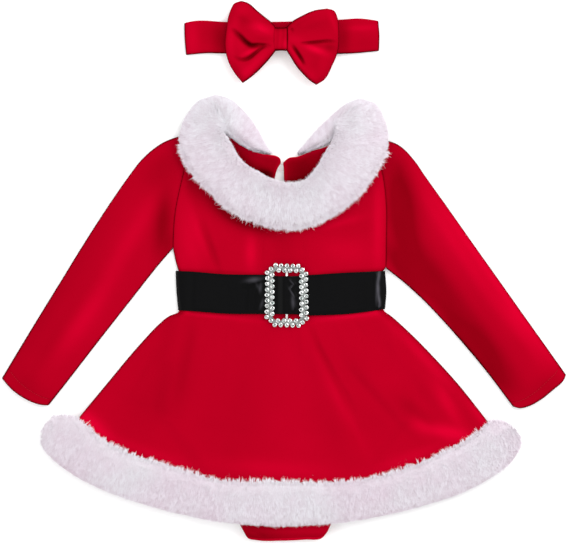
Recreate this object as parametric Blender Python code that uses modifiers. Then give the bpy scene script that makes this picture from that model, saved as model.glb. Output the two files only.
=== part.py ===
"""Baby's santa dress, a velvet bodysuit dress with fur trim, and its headband, laid flat on its back.

Metres, +Z up. The origin is on the floor under the middle of the set, with +X to the viewer's right
and +Y towards the headband. The set is drawn on a board: every table gives board millimetres, x from
the board's left edge and y down from its top edge, and board_to_part turns them into the part's frame.
"""

import math

import bmesh
import bpy
import numpy as np

MM = 0.001
BOARD_CENTRE = (283.7, 271.28)  # board point under the origin

VELVET = 1.5  # cloth walls
BRIEF_CLOTH = 1.2
RIBBON = 1.0
GAP = 0.3  # between the layers of the pile
SEAM = 0.5  # between panels that are sewn edge to edge
ARMHOLE_SEAM = 1.0
SLACK = 0.6  # between the brief and the skirt, which are only sewn together at the waist

BODICE_LOFT = 3.0  # front panel over back panel, in the middle
SLEEVE_FOLD = 2.2  # half the height of a sleeve's folded side
SLEEVE_CROWN = 1.9  # how much higher its top layer is in the middle
NECK_RISE = 3.4  # the back neckline is held up by the button and the collar
BELT_RISE = 1.3  # the back bodice lies on the belt's back stretch
BRIEF_PILE = 2 * SLACK + 2 * BRIEF_CLOTH + GAP  # how much the brief lifts the skirt's front
HEM_BACK_HEIGHT = 9.0  # fur band under the skirt, pressed by its weight
HEM_FRONT_HEIGHT = 11.0
COLLAR_FOOT = 7.6  # the collar's front stretch lies on the bodice and sleeves
BUCKLE_THICKNESS = 2.5
BUCKLE_BAR = 1.2


def board_to_part(x, y, z):
    """Board millimetres and a height in millimetres, as metres in the part's frame."""
    x, y, z = np.broadcast_arrays(x, y, z)
    return np.stack([x - BOARD_CENTRE[0], BOARD_CENTRE[1] - y, z], axis=-1) * MM


def smoothstep(t):
    t = np.clip(t, 0.0, 1.0)
    return t * t * (3 - 2 * t)


def smooth_run(points, steps=24):
    """A smooth curve through the points: cubics whose slopes come from the neighbouring points."""
    points = np.array(points, float)
    length = np.concatenate([[0.0], np.cumsum(np.linalg.norm(np.diff(points, axis=0), axis=1))])
    slope = np.gradient(points, length, axis=0)
    t = np.linspace(0, 1, steps, endpoint=False)[:, None]
    spans = []
    for start, end, from_slope, to_slope, reach in zip(
        points[:-1], points[1:], slope[:-1], slope[1:], np.diff(length)
    ):
        spans.append(
            (1 + 2 * t) * (1 - t) ** 2 * start
            + t * (1 - t) ** 2 * reach * from_slope
            + t * t * (3 - 2 * t) * end
            + t * t * (t - 1) * reach * to_slope
        )
    return np.concatenate(spans + [points[-1:]])


class Edge:
    """An edge of a cut piece: smooth within each run of points, with a corner where two runs meet."""

    def __init__(self, *runs, moved=(0.0, 0.0)):
        self.runs = runs
        drawn = [smooth_run(run) for run in runs]
        self.points = np.concatenate(drawn) + moved
        steps = np.linalg.norm(np.diff(self.points, axis=0), axis=1)
        length = np.concatenate([[0.0], np.cumsum(steps)])
        self.share = length / length[-1]
        ends = np.cumsum([len(run) for run in drawn]) - 1
        self.corners = [0.0, *self.share[ends]]

    def at(self, t):
        """Board points at shares t of the edge's length."""
        return np.stack([np.interp(t, self.share, self.points[:, i]) for i in (0, 1)], axis=-1)

    def moved(self, across, down):
        return Edge(*self.runs, moved=(across, down))

    def shares(self, count):
        """About count shares, as even as the corners allow, each corner among them."""
        spans = zip(self.corners[:-1], self.corners[1:])
        stretches = [
            np.linspace(start, end, max(1, round(count * (end - start))), endpoint=False)
            for start, end in spans
        ]
        return np.concatenate(stretches + [[1.0]])


def patch(top, bottom, left, right):
    """The area between four edges (a Coons patch), as a function of u, to the right, and v, downwards."""

    def at(u, v):
        u, v = np.broadcast_arrays(u, v)
        between_ends = v[..., None] * bottom.at(u) + (1 - v[..., None]) * top.at(u)
        between_sides = u[..., None] * right.at(v) + (1 - u[..., None]) * left.at(v)
        u, v = u[..., None], v[..., None]
        corners = (1 - v) * ((1 - u) * top.at(0.0) + u * top.at(1.0))
        corners = corners + v * ((1 - u) * bottom.at(0.0) + u * bottom.at(1.0))
        return between_ends + between_sides - corners

    return at


def material(name, colour, roughness, metallic=0.0, sheen=0.0):
    made = bpy.data.materials.new(name)
    made.use_nodes = True
    shader = made.node_tree.nodes["Principled BSDF"]
    shader.inputs["Base Color"].default_value = (*colour, 1.0)
    shader.inputs["Roughness"].default_value = roughness
    shader.inputs["Metallic"].default_value = metallic
    shader.inputs["Sheen Weight"].default_value = sheen
    made.diffuse_color = (*colour, 1.0)
    return made


def add_object(name, mesh, finish):
    made = bpy.data.objects.new(name, mesh)
    mesh.materials.append(finish)
    mesh.shade_smooth()
    mesh.set_sharp_from_angle(angle=math.radians(50))
    COLLECTION.objects.link(made)
    return made


def cut_panel(name, grids, lift, wall, finish):
    """A panel laid in the pile: grids of board points, joined where they share points, lifted to the height
    that lift(x, y) gives there, and then extruded straight up by the cloth's wall."""
    shape = bmesh.new()
    for grid in grids:
        places = board_to_part(grid[..., 0], grid[..., 1], lift(grid[..., 0], grid[..., 1]))
        points = [[shape.verts.new(place) for place in row] for row in places]
        for upper, lower in zip(points[:-1], points[1:]):
            for corners in zip(lower[:-1], lower[1:], upper[1:], upper[:-1]):
                shape.faces.new(corners)
    bmesh.ops.remove_doubles(shape, verts=shape.verts[:], dist=1e-6)
    raised = bmesh.ops.extrude_face_region(shape, geom=shape.faces[:])["geom"]
    raised = [part for part in raised if isinstance(part, bmesh.types.BMVert)]
    bmesh.ops.translate(shape, verts=raised, vec=(0, 0, wall * MM))
    bmesh.ops.recalc_face_normals(shape, faces=shape.faces[:])
    mesh = bpy.data.meshes.new(name)
    shape.to_mesh(mesh)
    shape.free()
    return add_object(name, mesh, finish)


def open_surface(name, points, faces):
    """A mesh of one open surface whose first face looks up and whose others agree with it."""
    mesh = bpy.data.meshes.new(name)
    mesh.from_pydata(points, [], faces)
    shape = bmesh.new()
    shape.from_mesh(mesh)
    bmesh.ops.recalc_face_normals(shape, faces=shape.faces[:])
    shape.faces.ensure_lookup_table()
    if shape.faces[0].normal.z < 0:
        bmesh.ops.reverse_faces(shape, faces=shape.faces[:])
    shape.to_mesh(mesh)
    shape.free()
    return mesh


def flat_tube(name, at, fold, top, wall, stations, across, finish, foot=0.0, closed_end=False):
    """A tube of cloth pressed flat. at(u, v) is its outline: u runs from one folded side to the other and v
    along the tube. fold is half the height of its folded sides, at each station. top(x, y) is the height of
    its upper layer above the folds, and foot that of its lower layer above the floor."""
    fold = np.broadcast_to(fold, stations.shape)[:, None]
    v = stations[:, None]
    width = np.linalg.norm(at(np.ones_like(v), v) - at(np.zeros_like(v), v), axis=-1)
    turn = np.radians([60.0, 0.0, -60.0])
    layer = fold / width + across * (1 - 2 * fold / width)
    side = fold * (1 - np.cos(turn)) / width
    u = np.concatenate([layer, 1 - side, layer[:, ::-1], side[:, ::-1]], axis=1)
    place = at(u, v)
    z = foot + fold + fold * np.concatenate(
        [np.ones_like(across), np.sin(turn), -np.ones_like(across), np.sin(turn[::-1])]
    )
    upper = slice(0, len(across))
    z[:, upper] += top(place[:, upper, 0], place[:, upper, 1])

    rings, count = u.shape
    index = np.arange(rings * count).reshape(rings, count)
    ahead = np.roll(index, -1, axis=1)
    faces = np.stack([index[:-1], ahead[:-1], ahead[1:], index[1:]], axis=-1).reshape(-1, 4).tolist()
    if closed_end:
        last, layers, turns = index[-1], len(across), len(turn)
        high, low = last[:layers], last[layers + turns : 2 * layers + turns][::-1]
        faces += np.stack([high[:-1], low[:-1], low[1:], high[1:]], axis=-1).tolist()
        faces.append([high[-1], *last[layers : layers + turns], low[-1]])
        faces.append([low[0], *last[2 * layers + turns :], high[0]])
    points = board_to_part(place[..., 0], place[..., 1], z).reshape(-1, 3)
    mesh = open_surface(name, points, faces)
    made = add_object(name, mesh, finish)
    cloth = made.modifiers.new("cloth wall", "SOLIDIFY")
    cloth.thickness = wall * MM
    cloth.offset = -1
    return made


def fur_roll(name, rungs, finish, hanging=False):
    """A roll of fur cloth along its rungs, each (outer x, outer y, inner x, inner y, foot, height). Its
    section is a D on its flat face, or one that hangs from it and is pressed flat by the floor."""
    turn = np.linspace(0, np.pi, 9)
    shoulder = 0.5 - 0.5 * np.sign(np.cos(turn)) * np.abs(np.cos(turn)) ** 0.7
    rise = np.sin(turn) ** 0.8
    across = np.concatenate([shoulder, [0.75, 0.5, 0.25]])
    up = np.concatenate([rise, np.zeros(3)])
    if hanging:
        up = 1 - np.minimum(up / 0.85, 1.0)
    shape = bmesh.new()
    rings = []
    for outer_x, outer_y, inner_x, inner_y, foot, height in rungs:
        x = outer_x + across * (inner_x - outer_x)
        y = outer_y + across * (inner_y - outer_y)
        rings.append([shape.verts.new(place) for place in board_to_part(x, y, foot + height * up)])
    for ring, following in zip(rings[:-1], rings[1:]):
        for corners in zip(ring, ring[1:] + ring[:1], following[1:] + following[:1], following):
            shape.faces.new(corners)
    shape.faces.new(rings[0])
    shape.faces.new(rings[-1])
    bmesh.ops.recalc_face_normals(shape, faces=shape.faces[:])
    mesh = bpy.data.meshes.new(name)
    shape.to_mesh(mesh)
    shape.free()
    return add_object(name, mesh, finish)


for leftover in list(bpy.data.objects):
    bpy.data.objects.remove(leftover)
COLLECTION = bpy.data.collections.new("baby_santa_dress")
bpy.context.scene.collection.children.link(COLLECTION)
VELVET_RED = material("velvet_red", (0.55, 0.004, 0.018), 0.8, sheen=0.6)
FUR_WHITE = material("fur_white", (0.86, 0.82, 0.86), 0.95)
RIBBON_BLACK = material("ribbon_black", (0.009, 0.009, 0.010), 0.35)
BUCKLE_METAL = material("buckle_metal", (0.80, 0.80, 0.82), 0.18, metallic=1.0)
BUTTON_PEARL = material("button_pearl", (0.80, 0.76, 0.74), 0.25)
LOOP_THREAD = material("loop_thread", (0.78, 0.66, 0.66), 0.8)


# The bodice's lines, which its neighbours share
ARMHOLE_LEFT = [(196, 131), (184, 172), (175, 215), (173, 248)]
ARMHOLE_RIGHT = [(366, 136), (381, 169), (386, 205), (386, 240), (385.6, 267.6)]
SIDE_LEFT = [(173, 248), (176, 262), (178.7, 271), (181, 311.3)]
UNDERARM_RIGHT = [(385.6, 267.6), (382.4, 271)]
SIDE_RIGHT = [(382.4, 271), (381.6, 310)]
SHOULDER_LEFT = [(196, 131), (219, 128.5)]
SHOULDER_RIGHT = [(336, 135), (366, 136)]
WAIST = Edge([(181, 311.3), (216, 315), (249, 317.5), (281, 318), (310, 317.5), (345, 315), (381.6, 310)])
NECK_FRONT = [(219, 128.5), (224, 141), (233, 153), (246, 167), (262, 179), (281, 186)]
NECK_FRONT += [(300, 184), (315, 174), (325, 160), (331, 147), (336, 135)]
NECK_BACK_LEFT = [(219, 128.5), (228.4, 134.6), (239, 143.8), (250.6, 150), (272, 155), (281, 162.6)]
NECK_BACK_RIGHT = [(283, 162.4), (289, 157.5), (296.5, 156.4), (311.8, 150.7), (328.7, 144.5), (336, 135)]

# The skirt's lines
SKIRT_SIDE_LEFT = Edge([(178, 312.2), (160.7, 322.9), (142.9, 340.7), (107, 383.6), (80, 416)])
SKIRT_SIDE_RIGHT = Edge([(384, 310.6), (405.5, 327.2), (441, 362.8), (458.8, 384), (487, 420.4)])
SKIRT_WAIST = Edge(
    [(178, 312.2), (216, 315.4), (249, 317.9), (281, 318.4), (310, 317.9), (345, 315.4), (384, 310.6)]
)
HEM_SEAM = Edge(
    [(80, 416), (97, 432), (120, 445.5), (172, 462.5), (226, 479), (281, 483.5)],
    [(281, 483.5), (338, 480.5), (400, 467.5), (455, 444), (473, 434.5), (487, 420.4)],
)
HEM_EDGE = Edge(
    [(55, 461), (75, 476), (103, 490), (164, 510), (224, 523.5), (281, 528.5)],
    [(281, 528.5), (341, 523.5), (407, 510), (468, 490), (492, 477), (509, 464)],
)

# The brief's half width about its middle line, down its length
BRIEF_MIDDLE = 285.5
# board y, half width
BRIEF_WIDTHS = ((316, 93), (360, 98), (400, 101), (420, 99), (450, 74), (485, 52), (527, 43), (541, 39))


def neck_lift(x, y):
    """How far the back neckline is held off the floor."""
    from_neck = np.hypot((x - 281) / 50, (y - 125) / 36)
    return NECK_RISE * smoothstep((1.85 - from_neck) / 0.45)


def belt_lift(x, y):
    """How far the back bodice is raised where it lies on the belt's back stretch."""
    return BELT_RISE * smoothstep((y - 246) / 20)


def skirt_back_lift(x, y):
    """The skirt's back: from the belt's height down to the floor, then up to the fur band's seam."""
    seam, waist = HEM_SEAM.points, SKIRT_WAIST.points
    above_hem = np.interp(x, seam[:, 0], seam[:, 1]) - y
    below_waist = y - np.interp(x, waist[:, 0], waist[:, 1])
    rise = (HEM_BACK_HEIGHT - VELVET) * smoothstep(1 - above_hem / 50)
    return rise + BELT_RISE * smoothstep(1 - below_waist / 30)


def brief_cover(x, y):
    """1 over the brief, falling to 0 beside it: how far the skirt's front is lifted by it."""
    heights, halves = zip(*BRIEF_WIDTHS)
    beside = np.abs(x - BRIEF_MIDDLE) - np.interp(y, heights, halves)
    return smoothstep(1 - (beside - 10) / 24)


def ridges(x, y, table):
    """Soft folds. Each is (top x, top y, low x, low y, half width, height), a rounded ridge that fades at its
    ends; a negative height is a trough."""
    total = np.zeros(np.broadcast(x, y).shape)
    for top_x, top_y, low_x, low_y, half_width, height in table:
        length = math.hypot(low_x - top_x, low_y - top_y)
        along = ((x - top_x) * (low_x - top_x) + (y - top_y) * (low_y - top_y)) / length**2
        beside = ((x - top_x) * (low_y - top_y) - (y - top_y) * (low_x - top_x)) / length
        fade = smoothstep((along + 0.25) / 0.4) * smoothstep((1.25 - along) / 0.4)
        total += height * fade * np.exp(-((beside / half_width) ** 2))
    return total


# Bodice

BODICE_COLUMNS = 17
BODICE_ROWS = 12

front_top = Edge(SHOULDER_LEFT, NECK_FRONT, SHOULDER_RIGHT)
front_left = Edge(ARMHOLE_LEFT, SIDE_LEFT)
front_right = Edge(ARMHOLE_RIGHT, UNDERARM_RIGHT, SIDE_RIGHT)
front_patch = patch(front_top, WAIST, front_left, front_right)
front_u = front_top.shares(BODICE_COLUMNS)[None, :]
front_v = np.union1d(front_left.shares(BODICE_ROWS), front_right.corners)[:, None]
front_grid = front_patch(front_u, front_v)


def bodice_front_lift(x, y):
    """The front panel's height: on the back panel at the side and shoulder seams, level with the sleeves
    along the armholes, and a little lofted in between."""
    from_side = np.minimum(front_u, 1 - front_u) + 0 * front_v
    armhole = np.clip(front_v / front_left.corners[1], 0, 1) + 0 * front_u
    at_side = BODICE_LOFT * np.sin(np.pi * armhole) ** 0.7
    loft = at_side + (BODICE_LOFT - at_side) * smoothstep(from_side / 0.09)
    at_shoulder = smoothstep((np.hypot((x - 281) / 85, (y - 131) / 30) - 1.0) / -0.3)
    loft = loft * (at_shoulder + (1 - at_shoulder) * smoothstep((y - 128) / 22))
    return belt_lift(x, y) + VELVET + GAP + np.maximum(1.12 * neck_lift(x, y), loft)


cut_panel("bodice_front", [front_grid], bodice_front_lift, VELVET, VELVET_RED)

# The slit's two edges, from the neckline down to its round end
SLIT_LEFT = [(281, 162.6), (277.6, 168), (274.8, 178), (274, 195), (275.6, 215), (280.5, 234)]
SLIT_RIGHT = [(283, 162.4), (283.6, 168), (283.8, 178), (285.2, 195), (284.6, 215), (280.5, 234)]
WAIST_LEFT_HALF = Edge([(181, 311.3), (216, 315), (249, 317.5), (280.5, 318)])
WAIST_RIGHT_HALF = Edge([(280.5, 318), (310, 317.5), (345, 315), (381.6, 310)])
BELOW_SLIT = [(280.5, 234), (280.5, 318)]

left_top = Edge(SHOULDER_LEFT, NECK_BACK_LEFT)
left_inner = Edge(SLIT_LEFT, BELOW_SLIT)
left_patch = patch(left_top, WAIST_LEFT_HALF, front_left, left_inner)
right_top = Edge(NECK_BACK_RIGHT, SHOULDER_RIGHT)
right_inner = Edge(SLIT_RIGHT, BELOW_SLIT)
right_patch = patch(right_top, WAIST_RIGHT_HALF, right_inner, front_right)
back_v = np.union1d(left_inner.shares(BODICE_ROWS), front_left.corners)
back_v = np.union1d(back_v, np.interp(front_right.corners, right_inner.corners, left_inner.corners))
right_v = np.interp(back_v, left_inner.corners, right_inner.corners)
back_grids = [
    left_patch(left_top.shares(8)[None, :], back_v[:, None]),
    right_patch(right_top.shares(8)[None, :], right_v[:, None]),
]
cut_panel(
    "bodice_back", back_grids, lambda x, y: neck_lift(x, y) + belt_lift(x, y), VELVET, VELVET_RED
)


# Sleeves

LAYER = np.linspace(0, 1, 8)
# side, outer fold from the shoulder, inner fold from the underarm, cuff from the outer fold, armhole shift
SLEEVES = (
    (
        "left",
        [(196, 131), (161, 144), (143, 158.6), (110, 198), (79.5, 246), (34.5, 318), (1.4, 378.6)],
        [(173, 248), (163, 260), (131, 301), (95, 347), (62, 389.5), (49, 406)],
        [(1.4, 378.6), (18, 392.5), (30, 401.4), (41, 404.8), (49, 406)],
        ARMHOLE_LEFT,
        -ARMHOLE_SEAM,
    ),
    (
        "right",
        [(366, 136), (400, 145.5), (425.5, 174), (471, 237), (518, 304), (566, 374.5)],
        [(385.6, 267.6), (405.5, 283), (430, 308), (453, 333.5), (485, 372.5), (513, 405)],
        [(566, 374.5), (558, 384), (548, 394), (535, 402), (524.6, 405.8), (513, 405)],
        ARMHOLE_RIGHT,
        ARMHOLE_SEAM,
    ),
)

for side, outer, inner, cuff, armhole, shift in SLEEVES:
    outer_fold = Edge([(outer[0][0] + shift, outer[0][1]), *outer[1:]])
    inner_fold = Edge([(inner[0][0] + shift, inner[0][1]), *inner[1:]])
    sleeve = patch(Edge(armhole, moved=(shift, 0)), Edge(cuff), outer_fold, inner_fold)

    def crown(x, y):
        return SLEEVE_CROWN * (1 - (2 * LAYER - 1) ** 2) + 0 * x

    flat_tube(f"sleeve_{side}", sleeve, SLEEVE_FOLD, crown, VELVET, np.linspace(0, 1, 11), LAYER, VELVET_RED)


# Collar

# Front stretch, round the front of the neck from one shoulder to the other
# outer x, outer y, inner x, inner y, foot, height
COLLAR_FRONT = (
    (214, 95, 219, 113, 0, 15),
    (198, 100, 219, 117, 0, 17),
    (187, 112, 219.6, 121, 0.5, 19),
    (180, 126, 220.4, 127, COLLAR_FOOT, 16),
    (177, 138, 223, 133, COLLAR_FOOT, 17),
    (178, 150, 227, 138, COLLAR_FOOT, 17),
    (184, 166, 232, 146, COLLAR_FOOT, 17),
    (194, 181, 239, 154, COLLAR_FOOT, 17),
    (207, 194, 247, 162, COLLAR_FOOT, 17),
    (227, 214, 258, 170, COLLAR_FOOT, 17),
    (253, 226, 269, 176, COLLAR_FOOT, 17),
    (281, 232, 283, 180, COLLAR_FOOT, 17),
    (305, 230.5, 294, 180, COLLAR_FOOT, 17),
    (331, 220, 304, 177, COLLAR_FOOT, 17),
    (350, 206, 312, 170, COLLAR_FOOT, 17),
    (362, 195, 318, 163, COLLAR_FOOT, 17),
    (374, 178, 323, 155, COLLAR_FOOT, 17),
    (382, 164, 328, 148, COLLAR_FOOT, 17),
    (387, 153, 332, 142, COLLAR_FOOT, 17),
    (389, 140, 335, 134, COLLAR_FOOT, 16),
    (387.5, 127, 338, 127, 5.5, 16),
    (384, 116, 341, 120, 0.5, 18),
    (377, 104.5, 344, 115.5, 0, 17),
    (364, 99.5, 347, 112, 0, 15),
)
# Back stretches, from the shoulder to the slit
COLLAR_BACK = {
    "left": (
        (214.6, 94.8, 219.6, 112.6, 0, 15),
        (228, 98, 222, 121.4, 0, 15),
        (241, 107.5, 226.4, 131, 0, 14),
        (250, 118, 232.8, 137, 0, 13),
        (258, 130, 241.6, 144.2, 0, 12),
        (264, 141, 251.4, 149.2, 0, 11),
        (269, 149, 262.4, 152, 0, 9),
        (272, 152.6, 268.6, 153.6, 0, 7),
    ),
    "right": (
        (363.4, 99.2, 346.4, 111.6, 0, 15),
        (352, 101.5, 340, 119.6, 0, 15),
        (340, 109, 335.2, 129.6, 0, 14),
        (330, 117.5, 330, 139.6, 0, 13),
        (320, 127, 321.4, 145.4, 0, 12),
        (311, 137, 311.6, 149.4, 0, 11),
        (304, 146, 303, 152.6, 0, 9),
        (299, 152, 297, 154.8, 0, 7),
    ),
}
fur_roll("collar_front", COLLAR_FRONT, FUR_WHITE)
for side, rungs in COLLAR_BACK.items():
    fur_roll(f"collar_back_{side}", rungs, FUR_WHITE)


# Button and loop that close the top of the slit, under the right edge

BUTTON_PLACE = (288.2, 167.2)
BUTTON_RADIUS = 4.5
BUTTON_DISC = 1.5
SHANK_RADIUS = 1.2
SHANK_TOP = NECK_RISE - GAP
LOOP_RADIUS = 0.4

# A turned profile: out along the shank's top, down it, round the disc's rim and back under it
PROFILE = (
    (0, SHANK_TOP),
    (SHANK_RADIUS, SHANK_TOP),
    (SHANK_RADIUS, BUTTON_DISC),
    (BUTTON_RADIUS - 0.5, BUTTON_DISC),
    (BUTTON_RADIUS, BUTTON_DISC / 2),
    (BUTTON_RADIUS - 0.5, 0),
    (0, 0),
)
button_mesh = bpy.data.meshes.new("neck_button")
button_mesh.from_pydata(
    [(radius * MM, 0, z * MM) for radius, z in PROFILE], [(i, i + 1) for i in range(len(PROFILE) - 1)], []
)
button = add_object("neck_button", button_mesh, BUTTON_PEARL)
button.location = board_to_part(*BUTTON_PLACE, 0.0)
turning = button.modifiers.new("turning", "SCREW")
turning.steps = turning.render_steps = 16
turning.use_merge_vertices = True
turning.merge_threshold = 0.00001

loop_curve = bpy.data.curves.new("button_loop", "CURVE")
loop_curve.dimensions = "3D"
loop_curve.bevel_depth = LOOP_RADIUS * MM
loop_curve.bevel_resolution = 1
loop_curve.use_fill_caps = True
around = SHANK_RADIUS + LOOP_RADIUS + 0.35
turn = np.radians(np.linspace(100, -100, 7))
loop_x = [275.4, 278.4, *(BUTTON_PLACE[0] + around * np.cos(turn)), 278.4, 275.4]
loop_y = [164.6, 164.3, *(BUTTON_PLACE[1] - around * np.sin(turn)), 169.6, 169.4]
loop_points = board_to_part(np.array(loop_x), np.array(loop_y), BUTTON_DISC + GAP + LOOP_RADIUS)
spline = loop_curve.splines.new("POLY")
spline.points.add(len(loop_points) - 1)
for point, place in zip(spline.points, loop_points):
    point.co = (*place, 1.0)
loop_curve.materials.append(LOOP_THREAD)
COLLECTION.objects.link(bpy.data.objects.new("button_loop", loop_curve))


# Belt and buckle

BELT_TOP_EDGE = Edge(
    [(175.6, 270.3), (192, 271.3), (224, 274.1), (264, 275)],
    [(264, 275), (275, 276.4), (287, 276.6), (299, 276.4), (309, 275.3)],
    [(309, 275.3), (345, 272.6), (385, 270.4)],
)
BELT_LOW_EDGE = Edge(
    [(178.2, 309.8), (199.5, 311.1), (224, 313), (264, 313.4)],
    [(264, 313.4), (275, 313.4), (287, 313.6), (299, 314), (309, 315)],
    [(309, 315), (345, 313.6), (385, 308.6)],
)
BELT_LEFT = Edge([(175.6, 270.3), (176.4, 290), (178.2, 309.8)])
BELT_RIGHT = Edge([(385, 270.4), (386.4, 292), (385, 308.6)])
BELT_FOLD = 3.0
BUCKLE_CENTRE = (286.7, 295.0)
BUCKLE_OUTER = (43.4, 62.0)
BUCKLE_WINDOW = (23.4, 45.4)
BUCKLE_CHAMFER = 7.0
BAR_WIDTH = 2.4

# Over the two bodice layers and the brief's pile beside them, measured above the belt's folded sides
BELT_CREST = BELT_RISE + 2 * VELVET + GAP + BODICE_LOFT + GAP + RIBBON
BUCKLE_FOOT = BELT_CREST + GAP
BAR_TOP = BELT_CREST + BUCKLE_BAR
OVER_BAR = 2.6


def belt_top(x, y):
    """The ribbon rises from its folded sides onto the bodice, and arches over the buckle's bar."""
    from_side = np.minimum(x - 176, 386 - x)
    onto_bodice = (BELT_CREST - 2 * BELT_FOLD) * smoothstep(from_side / 24)
    return onto_bodice + OVER_BAR * smoothstep(1.25 - np.abs(x - BUCKLE_CENTRE[0]) / 8.5)


belt_patch = patch(BELT_TOP_EDGE, BELT_LOW_EDGE, BELT_LEFT, BELT_RIGHT)
belt_u = np.unique(np.concatenate([np.linspace(0, 1, 17), np.linspace(0.44, 0.615, 8)]))
flat_tube("belt", belt_patch, BELT_FOLD, belt_top, RIBBON, np.linspace(0, 1, 4), belt_u, RIBBON_BLACK)


def chamfered(width, height, chamfer):
    """The corners of a rectangle about the middle with its corners cut off, in millimetres."""
    x, y = width / 2, height / 2
    quarter = [(x, y - chamfer), (x - chamfer, y)]
    return quarter + [(-a, b) for a, b in quarter[::-1]] + [(-a, -b) for a, b in quarter] + [
        (a, -b) for a, b in quarter[::-1]
    ]


frame_curve = bpy.data.curves.new("buckle", "CURVE")
frame_curve.dimensions = "2D"
frame_curve.fill_mode = "BOTH"
frame_curve.extrude = BUCKLE_THICKNESS / 2 * MM
for corners in (chamfered(*BUCKLE_OUTER, BUCKLE_CHAMFER), chamfered(*BUCKLE_WINDOW, 2.0)):
    outline = frame_curve.splines.new("POLY")
    outline.points.add(len(corners) - 1)
    outline.use_cyclic_u = True
    for point, (x, y) in zip(outline.points, corners):
        point.co = (x * MM, y * MM, 0, 1)
drawn = bpy.data.objects.new("buckle_outline", frame_curve)
COLLECTION.objects.link(drawn)
graph = bpy.context.evaluated_depsgraph_get()
frame_mesh = bpy.data.meshes.new_from_object(drawn.evaluated_get(graph))
bpy.data.objects.remove(drawn)
shape = bmesh.new()
shape.from_mesh(frame_mesh)
bmesh.ops.remove_doubles(shape, verts=shape.verts[:], dist=1e-7)
bmesh.ops.recalc_face_normals(shape, faces=shape.faces[:])
shape.to_mesh(frame_mesh)
shape.free()
frame_mesh.materials.clear()
buckle = add_object("buckle", frame_mesh, BUCKLE_METAL)
buckle.location = board_to_part(*BUCKLE_CENTRE, BUCKLE_FOOT + BUCKLE_THICKNESS / 2)

HELPERS = bpy.data.collections.new("helpers")
bpy.context.scene.collection.children.link(HELPERS)
bar_shape = bmesh.new()
bmesh.ops.create_cube(bar_shape, size=1.0)
bar_size = (BAR_WIDTH * MM, (BUCKLE_WINDOW[1] + 4) * MM, BUCKLE_BAR * MM)
bmesh.ops.scale(bar_shape, vec=bar_size, verts=bar_shape.verts[:])
bar_mesh = bpy.data.meshes.new("buckle_bar")
bar_shape.to_mesh(bar_mesh)
bar_shape.free()
bar = bpy.data.objects.new("buckle_bar", bar_mesh)
bar.location = board_to_part(*BUCKLE_CENTRE, BAR_TOP - BUCKLE_BAR / 2)
bar.hide_render = True
bar.display_type = "WIRE"
HELPERS.objects.link(bar)
joined = buckle.modifiers.new("centre bar", "BOOLEAN")
joined.operation = "UNION"
joined.object = bar


# Skirt

SKIRT_COLUMNS = np.linspace(0, 1, 25)
SKIRT_ROWS = np.concatenate([np.linspace(0, 0.6, 6), np.linspace(0.68, 1.0, 6)])
skirt_hem = HEM_SEAM.moved(0, -SEAM)
skirt_patch = patch(SKIRT_WAIST, skirt_hem, SKIRT_SIDE_LEFT, SKIRT_SIDE_RIGHT)
skirt_grid = skirt_patch(SKIRT_COLUMNS[None, :], SKIRT_ROWS[:, None])

# Soft folds of the front, down from the waist
# top x, top y, low x, low y, half width, height
SKIRT_FOLDS = (
    (205, 330, 150, 440, 17, 2.6),
    (236, 335, 214, 462, 17, 2.2),
    (262, 330, 262, 470, 15, -1.0),
    (310, 331, 352, 452, 15, 2.8),
    (350, 345, 408, 430, 15, 2.4),
    (374, 330, 428, 402, 13, -1.2),
    (398, 345, 462, 428, 13, 2.6),
    (170, 350, 112, 420, 14, 2.0),
)


def skirt_front_lift(x, y):
    from_side = np.minimum(SKIRT_COLUMNS, 1 - SKIRT_COLUMNS)[None, :] + 0 * SKIRT_ROWS[:, None]
    free = smoothstep(from_side / 0.1) * smoothstep((1 - SKIRT_ROWS[:, None]) / 0.2)
    free = free * smoothstep(SKIRT_ROWS[:, None] / 0.12)
    over_brief = BRIEF_PILE * brief_cover(x, y) * smoothstep(from_side / 0.04)
    resting = skirt_back_lift(x, y) + VELVET + GAP + over_brief
    return resting + free * np.maximum(0, 0.8 + ridges(x, y, SKIRT_FOLDS))


cut_panel("skirt_back", [skirt_grid], skirt_back_lift, VELVET, VELVET_RED)
cut_panel("skirt_front", [skirt_grid], skirt_front_lift, VELVET, VELVET_RED)


# Fur band round the hem

# Rounded ends past the skirt's side folds: outer x, outer y, inner x, inner y, height as a share
HEM_END_LEFT = ((50, 415.4, 39, 437, 0.55), (62, 413.6, 44, 449, 0.85))
HEM_END_RIGHT = ((500, 419.6, 519, 450, 0.85), (512, 425, 522, 441, 0.55))
seam_points = HEM_SEAM.at(SKIRT_COLUMNS)
edge_points = HEM_EDGE.at(SKIRT_COLUMNS)
middle = [(*seam, *edge, 1.0) for seam, edge in zip(seam_points, edge_points)]
hem_rungs = [*HEM_END_LEFT, *middle, *HEM_END_RIGHT]
back_rungs = [(*ends, HEM_BACK_HEIGHT * (1 - share), HEM_BACK_HEIGHT * share) for *ends, share in hem_rungs]
front_rungs = []
for *ends, share in hem_rungs:
    foot = HEM_BACK_HEIGHT + GAP + BRIEF_PILE * float(brief_cover(ends[0], 485.0))
    front_rungs.append((*ends, foot, HEM_FRONT_HEIGHT * share))
fur_roll("hem_fur_back", back_rungs, FUR_WHITE, hanging=True)
fur_roll("hem_fur_front", front_rungs, FUR_WHITE)


# Brief

BRIEF_TOP = Edge([(192.5, 317), (249, 321), (281, 321.4), (320, 321), (378.5, 317)])
BRIEF_TIP = Edge(
    [(244.6, 532), (248, 538), (257, 540.3), (281, 540.7), (305, 539.8), (322, 538), (327.4, 531)]
)
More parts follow.
